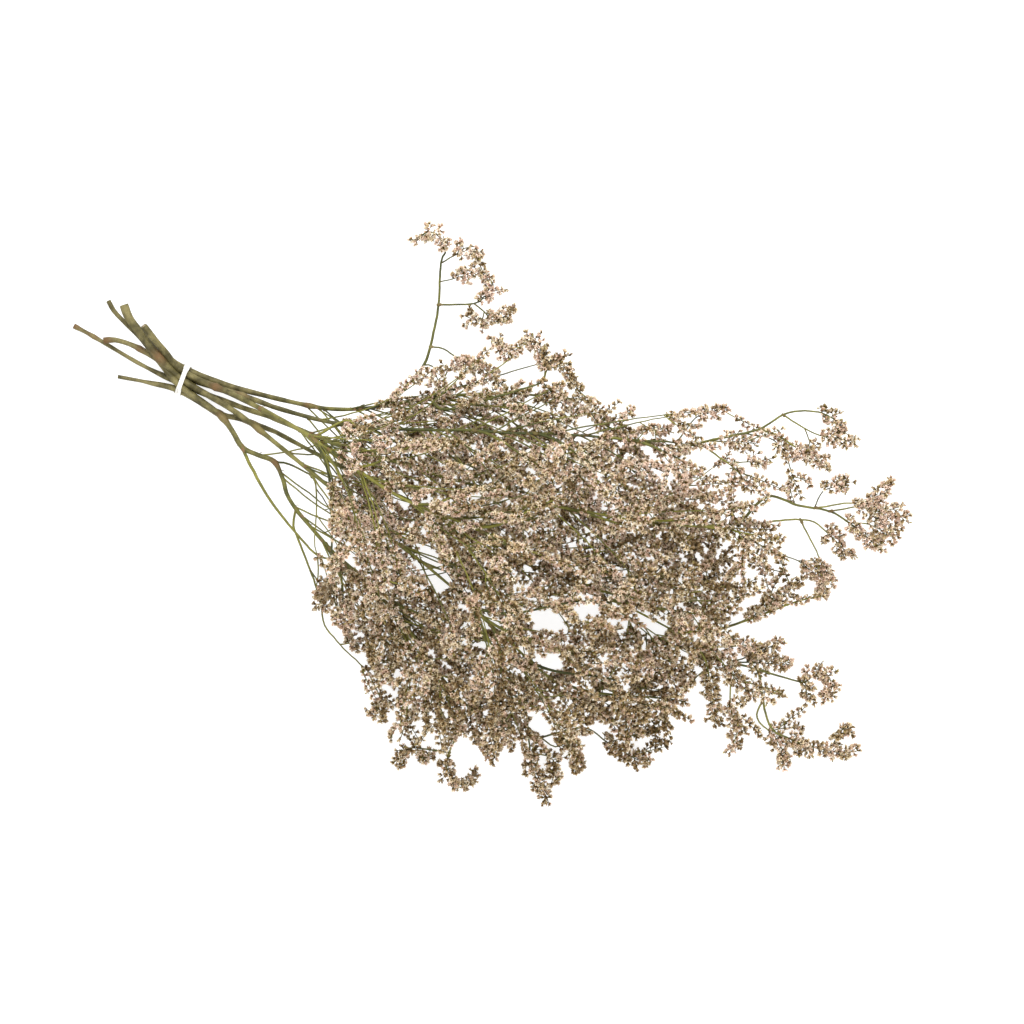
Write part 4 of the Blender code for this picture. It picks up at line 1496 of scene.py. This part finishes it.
@dataclass(frozen=True)
class FloorFinish:
    """A plain pale sheet of paper, lit a little from behind."""

    glow: float = 0.80
    colour: tuple = (0.42, 0.42, 0.418)
    shade: tuple = (0.40, 0.40, 0.398)
    clouds: tuple = (3.0, 0.6)
    roughness: float = 0.9
    shine: float = 0.1

    def material(self) -> bpy.types.Material:
        """Builds the finish.

        Returns:
            The material.
        """
        material, tree, shader = new_material("pale_paper")
        place = tree.nodes.new("ShaderNodeTexCoord").outputs["Object"]
        mottle = mottle_node(tree, place, *self.clouds)
        tree.links.new(mix_node(tree, "MIX", mottle.outputs["Mask"], self.colour, self.shade),
                       shader.inputs["Base Color"])
        shader.inputs["Roughness"].default_value = self.roughness
        shader.inputs["Specular IOR Level"].default_value = self.shine
        shader.inputs["Emission Color"].default_value = (1.0, 1.0, 1.0, 1.0)
        shader.inputs["Emission Strength"].default_value = self.glow
        return material


@dataclass
class Spray:
    """One stem of the bunch: its axis, branches, flowering spikes and flowers."""

    name: str
    route: tuple
    tips: tuple
    cut_radius: float
    knots: tuple
    habit: Habit
    flowers: Flowers
    seed: int
    thin_branches: int = 26
    # How near in plan and in height a given shoot comes to a branch's tip to stand for it
    same_tip: float = 14.0
    same_height: float = 40.0
    # Bare shares from which such a shoot stands for no branch, and from which it gets no sprigs
    bare_from: float = 0.95
    sprigs_until: float = 0.9
    # Corners round each kind of shoot, and at most round one that isn't thick
    sides: tuple = ((Rank.AXIS, 10), (Rank.BRANCH, 7), (Rank.TWIG, 4), (Rank.SPIKE, 3))
    thin_sides: int = 4
    thick_from: float = 0.65
    # Depth of the axis's ribs, and the share of it where wood turns to green and over how much
    ribs: float = 0.07
    green_from: tuple = (0.22, 0.30)
    # How far rust reaches from a knot, and how rusty knots and the feet of branches are
    rust_reach: float = 4.2
    rusty: tuple = (0.75, 0.5)
    # A node's size beside the branch's radius, and places and radii of its rings as shares of it
    node: float = 1.3
    node_rings: tuple = ((-1.4, 0.7), (0.0, 1.25), (1.6, 0.75))
    # Two places along the bunch, and how rusty nodes are there
    node_rust: tuple = ((-150, -60), (0.8, 0.3))
    # How far out the scale at a node has its foot, and how far along and out its middle and tip
    scale_foot: float = 1.1
    scale_middle: tuple = (1.6, 0.9)
    scale_tip: tuple = (4.5, 1.6)
    # Half its width at its foot and its middle, and how far it is creased
    scale_half_widths: tuple = (0.9, 1.3)
    scale_crease: float = 0.5
    # Radii of a flower stalk at its foot and its head, and how far it runs into the flowers
    stalk_radii: tuple = (0.28, 0.42)
    stalk_runs_on: float = 0.4
    # A direction that no stalk follows
    askew: tuple = (0.31, 0.42, 0.85)
    shoots: list = field(default_factory=list)
    rng: random.Random = field(init=False)

    def __post_init__(self) -> None:
        """Grows the axis and the branches."""
        self.rng = random.Random(self.seed)
        self.shoots.append(
            self.habit.axis(self.route, self.cut_radius, self.knots, self.rng))
        guides = GUIDED[self.name]
        for tip in self.tips:
            if not self.is_guided(tip, guides):
                self.shoots.append(self.habit.branch(self.shoots[0], Vector(tip), self.rng))
        for radius, bare, route in guides:
            self.shoots.append(self.habit.guided(self.shoots, radius, bare, route, self.rng))
        self.add_thin_shoots()

    def add_thin_shoots(self) -> None:
        """Grows thin bare branches, and sprigs on the guided shoots."""
        left = self.thin_branches
        while left:
            thin = self.habit.thin_branch(self.shoots[0], self.rng)
            if min(p.z for p in thin.points) > self.habit.lowest and all(
                    inside_outline(p) for p in thin.points[len(thin.points) // 2:]
            ) and not in_clearing(thin.points[-1]):
                self.shoots.append(thin)
                left -= 1
        for bearer in [s for s in self.shoots
                       if s.guided and s.flowering_from < self.sprigs_until]:
            self.shoots += self.habit.sprigs(bearer, self.rng)

    def is_guided(self, tip: tuple, guides: tuple) -> bool:
        """Whether a given shoot already comes to a branch's tip.

        Args:
            tip: The branch's tip.
            guides: The stem's given shoots.

        Returns:
            Whether one does.
        """
        return any(math.hypot(x - tip[0], y - tip[1]) < self.same_tip
                   and abs(z - tip[2]) < self.same_height
                   for _, bare, route in guides if bare < self.bare_from for x, y, z in route[2:])

    def bearers(self) -> list:
        """The shoots that a spike may grow from."""
        return [s for s in self.shoots if s.rank in (Rank.BRANCH, Rank.TWIG)]

    def candidate(self, cover: Cover) -> tuple[float, Shoot] | None:
        """A spike that this stem could put out next.

        Args:
            cover: Where flowers already stand.

        Returns:
            How crowded its place is, and the spike, or None if it would reach the table.
        """
        spike = self.habit.spike(self.rng.choice(self.bearers()), self.rng)
        if min(p.z for p in spike.points) < self.habit.lowest:
            return None
        return cover.crowding(self.flowers.places(spike)), spike

    def wood_pile(self) -> Pile:
        """The woody parts: axis, branches, spikes, flower stalks and the scales at the nodes.

        Returns:
            The pile, with the marks that the stem's finish reads.
        """
        pile = Pile("age", "sap", "rust", "cut")
        green_from, over = self.green_from
        at_knots, at_feet = self.rusty
        sides = dict(self.sides)
        for shoot in self.shoots:
            thick = shoot.radii[0] > self.thick_from
            count = sides[shoot.rank] if thick else min(sides[shoot.rank], self.thin_sides)
            ribs = self.ribs if shoot.rank is Rank.AXIS else 0.0
            vertices, triangles = tube_form(shoot.points, shoot.radii, count, shoot.outer, ribs)
            rings = np.repeat(np.arange(len(shoot.points)), count)
            share = np.append(rings, [0, len(shoot.points) - 1]) / (len(shoot.points) - 1)
            cut = np.zeros(len(vertices))
            rust = np.zeros(len(vertices))
            if shoot.rank is Rank.AXIS:
                age = np.clip((share - green_from) / over, 0, 1)
                cut[-2] = 1.0
                along = np.append([point.x for point in shoot.points],
                                  [shoot.points[0].x, shoot.points[-1].x])
                rust = sum(np.exp(-((along - x) / self.rust_reach) ** 2) for x in shoot.knots)
                rust = np.clip(at_knots * rust[np.append(rings, [-2, -1])], 0, at_knots)
            elif shoot.rank is Rank.BRANCH:
                age = np.full(len(vertices), 1.0)
                rust[:count] = at_feet
            else:
                age = np.full(len(vertices), 1.0)
            pile.add(vertices, triangles, age=age, sap=shoot.sap, rust=rust, cut=cut)
            if shoot.rank is Rank.BRANCH and thick:
                self.add_node(pile, shoot)
        self.add_stalks(pile)
        return pile

    def add_node(self, pile: Pile, shoot: Shoot) -> None:
        """Adds the swelling and the dry scale where a branch leaves the axis.

        Args:
            pile: Where they go.
            shoot: The branch.
        """
        start, along = shoot.points[0], (shoot.points[1] - shoot.points[0]).normalized()
        thick = shoot.radii[0] * self.node
        rust = float(np.interp(start.x, *self.node_rust))
        rings = [start + along * thick * at for at, _ in self.node_rings]
        radii = [thick * share for _, share in self.node_rings]
        vertices, triangles = tube_form(rings, radii, 8, UP)
        pile.add(vertices, triangles, age=0.5, sap=0.5, rust=rust, cut=0.0)
        side = square_to(along, self.rng.choice((UP, -UP, Vector((0, 1, 0)))))
        across = along.cross(side)
        foot = start + side * thick * self.scale_foot
        tip = foot + along * self.scale_tip[0] + side * self.scale_tip[1]
        middle = foot + along * self.scale_middle[0] + side * self.scale_middle[1]
        narrow, wide = self.scale_half_widths
        scale = np.array([foot + across * narrow, foot - across * narrow, middle + across * wide,
                          middle - across * wide, tip, middle + side * self.scale_crease])
        faces = np.array([(0, 1, 5), (0, 5, 2), (1, 3, 5), (2, 5, 4), (3, 4, 5)])
        pile.add(scale, faces, age=0.0, sap=0.5, rust=rust, cut=0.0)

    def add_stalks(self, pile: Pile) -> None:
        """Adds the short stalks that carry the clusters of flowers.

        Args:
            pile: Where they go.
        """
        starts = np.array([a for a, _ in self.flowers.stalks])
        ends = np.array([b for _, b in self.flowers.stalks])
        along = ends - starts
        along /= np.linalg.norm(along, axis=1, keepdims=True)
        side = np.cross(along, [self.askew])
        side /= np.linalg.norm(side, axis=1, keepdims=True)
        other = np.cross(along, side)
        heads = ends + self.stalk_runs_on * along
        corners = []
        for centre, radius in zip((starts, heads), self.stalk_radii):
            for k in range(3):
                turn = math.tau * k / 3
                corners.append(centre + radius * (math.cos(turn) * side + math.sin(turn) * other))
        vertices = np.stack(corners, 1)
        one = np.array([(0, 1, 4), (0, 4, 3), (1, 2, 5), (1, 5, 4), (2, 0, 3), (2, 3, 5)])
        steps = (np.arange(len(starts)) * 6)[:, None, None]
        pile.add(vertices.reshape(-1, 3), (one[None] + steps).reshape(-1, 3), age=0.8, sap=0.35,
                 rust=0.35, cut=0.0)

    def dress(self, stem: bpy.types.Material, petal: bpy.types.Material) -> None:
        """Builds the stem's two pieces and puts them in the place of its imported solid.

        Args:
            stem: Finish of the woody parts.
            petal: Finish of the flowers.
        """
        for shoot in self.shoots:
            self.flowers.cover_shoot(shoot, self.rng)
        label = self.name.replace("spray_", "")
        wood = self.wood_pile().build("stems_" + label, stem, smooth=True)
        bloom = self.flowers.pile(self.seed).build("flowers_" + label, petal, smooth=False)
        for piece in (wood, bloom):
            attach(piece, "root")
            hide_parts(self.name)


@dataclass
class Bunch:
    """All the stems, put out spike by spike so that they cover the table evenly."""

    spikes: int = 885
    compared: int = 12
    cover: Cover = field(default_factory=Cover)
    sprays: list = field(default_factory=list)

    def grow(self) -> None:
        """Grows the stems, then the spikes, each the least crowded of a few."""
        rng = random.Random(SEED)
        form = FloretForm()
        for number, (name, stem) in enumerate(STEMS.items()):
            self.sprays.append(Spray(name, *stem, Habit(), Flowers(form), SEED + number))
        for spray in self.sprays:
            for shoot in spray.shoots[1:]:
                self.cover.add(spray.flowers.places(shoot))
        for _ in range(self.spikes):
            best = None
            for _ in range(self.compared):
                spray = rng.choice(self.sprays)
                found = spray.candidate(self.cover)
                if found and (best is None or found[0] < best[0]):
                    best = (found[0], spray, found[1])
            if best:
                _, spray, spike = best
                spray.shoots.append(spike)
                self.cover.add(spray.flowers.places(spike))

    def dress(self, stem: bpy.types.Material, petal: bpy.types.Material) -> None:
        """Builds every stem's pieces.

        Args:
            stem: Finish of the woody parts.
            petal: Finish of the flowers.
        """
        for spray in self.sprays:
            spray.dress(stem, petal)


@dataclass
class ElasticBand:
    """The white band round the stems, two turns side by side."""

    tie: float = -245.5
    width: float = 2.6
    thickness: float = 1.15
    gap: float = 0.35
    offset: float = 1.35
    skew: float = 0.9
    # The rounded corners: where they end, as a share of the thickness and of half the width
    corner: tuple = (0.25, 0.75, 0.8)
    around: int = 72

    def loop(self, stems: list, x: float) -> list:
        """The line that a turn follows round the stems.

        Args:
            stems: The stems' axes.
            x: Where the turn crosses them.

        Returns:
            Pairs of a place across the bunch and the outward direction there.
        """
        near = [(a.lerp(b, (x - a.x) / (b.x - a.x)), stem.radii[n])
                for stem in stems for n, (a, b) in enumerate(zip(stem.points, stem.points[1:]))
                if a.x <= x < b.x]
        found = []
        for n in range(self.around):
            angle = math.tau * n / self.around
            out = Vector((0, math.cos(angle), math.sin(angle)))
            centre, radius = max(near, key=lambda one: one[0].dot(out) + one[1])
            found.append((centre + out * (radius + self.gap), out))
        return found

    def build(self, stems: list, elastic: bpy.types.Material) -> bpy.types.Object:
        """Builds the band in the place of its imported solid.

        Args:
            stems: The stems' axes.
            elastic: Its finish.

        Returns:
            The band.
        """
        half, thick = self.width / 2, self.thickness
        low, high, flat = self.corner[0] * thick, self.corner[1] * thick, self.corner[2] * half
        profile = ((-half, low), (-half, high), (-flat, thick), (flat, thick),
                   (half, high), (half, low), (flat, 0.0), (-flat, 0.0))
        pile = Pile()
        for hand in (-1, 1):
            x = self.tie + hand * self.offset
            loop = self.loop(stems, x)
            rows = []
            for place, out in loop:
                lean = -hand * self.skew * out.z
                rows.append([place + out * rise + Vector((x - place.x + across + lean, 0, 0))
                             for across, rise in profile])
            vertices = np.array(rows).reshape(-1, 3)
            vertices[:, 2] = np.maximum(vertices[:, 2], 0.0)
            size, ring = len(profile), len(loop)
            faces = []
            for n in range(ring):
                for k in range(size):
                    a, b = n * size + k, n * size + (k + 1) % size
                    c, d = (n + 1) % ring * size + (k + 1) % size, (n + 1) % ring * size + k
                    faces += [(a, b, c), (a, c, d)]
            pile.add(vertices, np.array(faces))
        band = pile.build("white_band", elastic, smooth=True)
        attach(band, "root")
        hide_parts("elastic_band")
        return band


@dataclass
class Studio:
    """The pale floor, the soft light and the camera of the photograph."""

    floor_size: float = 8.0
    width: float = 0.768
    lens: float = 200.0
    sensor: float = 36.0
    turn: float = math.radians(20)
    middle: tuple = (0.0257, 0.0139, 0.09)
    sky: tuple = (1.0, 0.985, 0.965)
    sky_strength: float = 0.84
    key_power: float = 43.0
    key: tuple = ((-0.5, 0.9, 1.7), 1.5)
    fill: tuple = ((0.9, -0.9, 1.5), 1.8)
    fill_share: float = 0.5

    def build(self) -> None:
        """Sets up the floor, the light and the camera."""
        mesh = bpy.data.meshes.new("floor")
        half = self.floor_size / 2
        mesh.from_pydata([(-half, -half, 0), (half, -half, 0), (half, half, 0), (-half, half, 0)],
                         [], [(0, 1, 2, 3)])
        mesh.materials.append(FloorFinish().material())
        floor = bpy.data.objects.new("floor", mesh)
        bpy.context.scene.collection.objects.link(floor)
        self.light("key_softbox", *self.key, self.key_power)
        self.light("fill_softbox", *self.fill, self.fill_share * self.key_power)
        world = bpy.data.worlds.new("studio_air")
        world.use_nodes = True
        background = world.node_tree.nodes["Background"]
        background.inputs["Color"].default_value = (*self.sky, 1.0)
        background.inputs["Strength"].default_value = self.sky_strength
        bpy.context.scene.world = world
        bpy.context.scene.view_settings.view_transform = "Standard"
        self.camera()

    def light(self, name: str, place: tuple, size: float, power: float) -> None:
        """Adds a square area light that faces the bunch.

        Args:
            name: Its name.
            place: Where it hangs, in metres.
            size: Its side, in metres.
            power: Its power in watts.
        """
        lamp = bpy.data.lights.new(name, "AREA")
        lamp.size, lamp.energy = size, power
        made = bpy.data.objects.new(name, lamp)
        made.location = place
        made.rotation_mode = "QUATERNION"
        made.rotation_quaternion = (-Vector(place)).to_track_quat("-Z", "Y")
        bpy.context.scene.collection.objects.link(made)

    def camera(self) -> None:
        """Hangs the camera straight over the bunch, turned as the photograph is."""
        data = bpy.data.cameras.new("overhead")
        data.lens, data.sensor_width = self.lens, self.sensor
        camera = bpy.data.objects.new("overhead", data)
        right = Vector((math.cos(self.turn), math.sin(self.turn), 0))
        up = Vector((-math.sin(self.turn), math.cos(self.turn), 0))
        place = Matrix((right, up, UP)).transposed().to_4x4()
        place.translation = Vector(self.middle) + UP * self.width * self.lens / self.sensor
        camera.matrix_world = place
        bpy.context.scene.collection.objects.link(camera)
        bpy.context.scene.camera = camera


def main() -> None:
    """Builds the bunch, its band and the studio, and logs the shoots and the pieces."""
    logging.basicConfig(level=logging.INFO, format="%(message)s")
    stem, petal = StemFinish().material(), PetalFinish().material()
    bunch = Bunch()
    bunch.grow()
    LOG.info("grew %d shoots", sum(len(spray.shoots) for spray in bunch.sprays))
    bunch.dress(stem, petal)
    axes = [spray.shoots[0] for spray in bunch.sprays]
    ElasticBand().build(axes, ElasticFinish().material())
    Studio().build()
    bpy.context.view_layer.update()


if __name__ == "__main__":
    main()
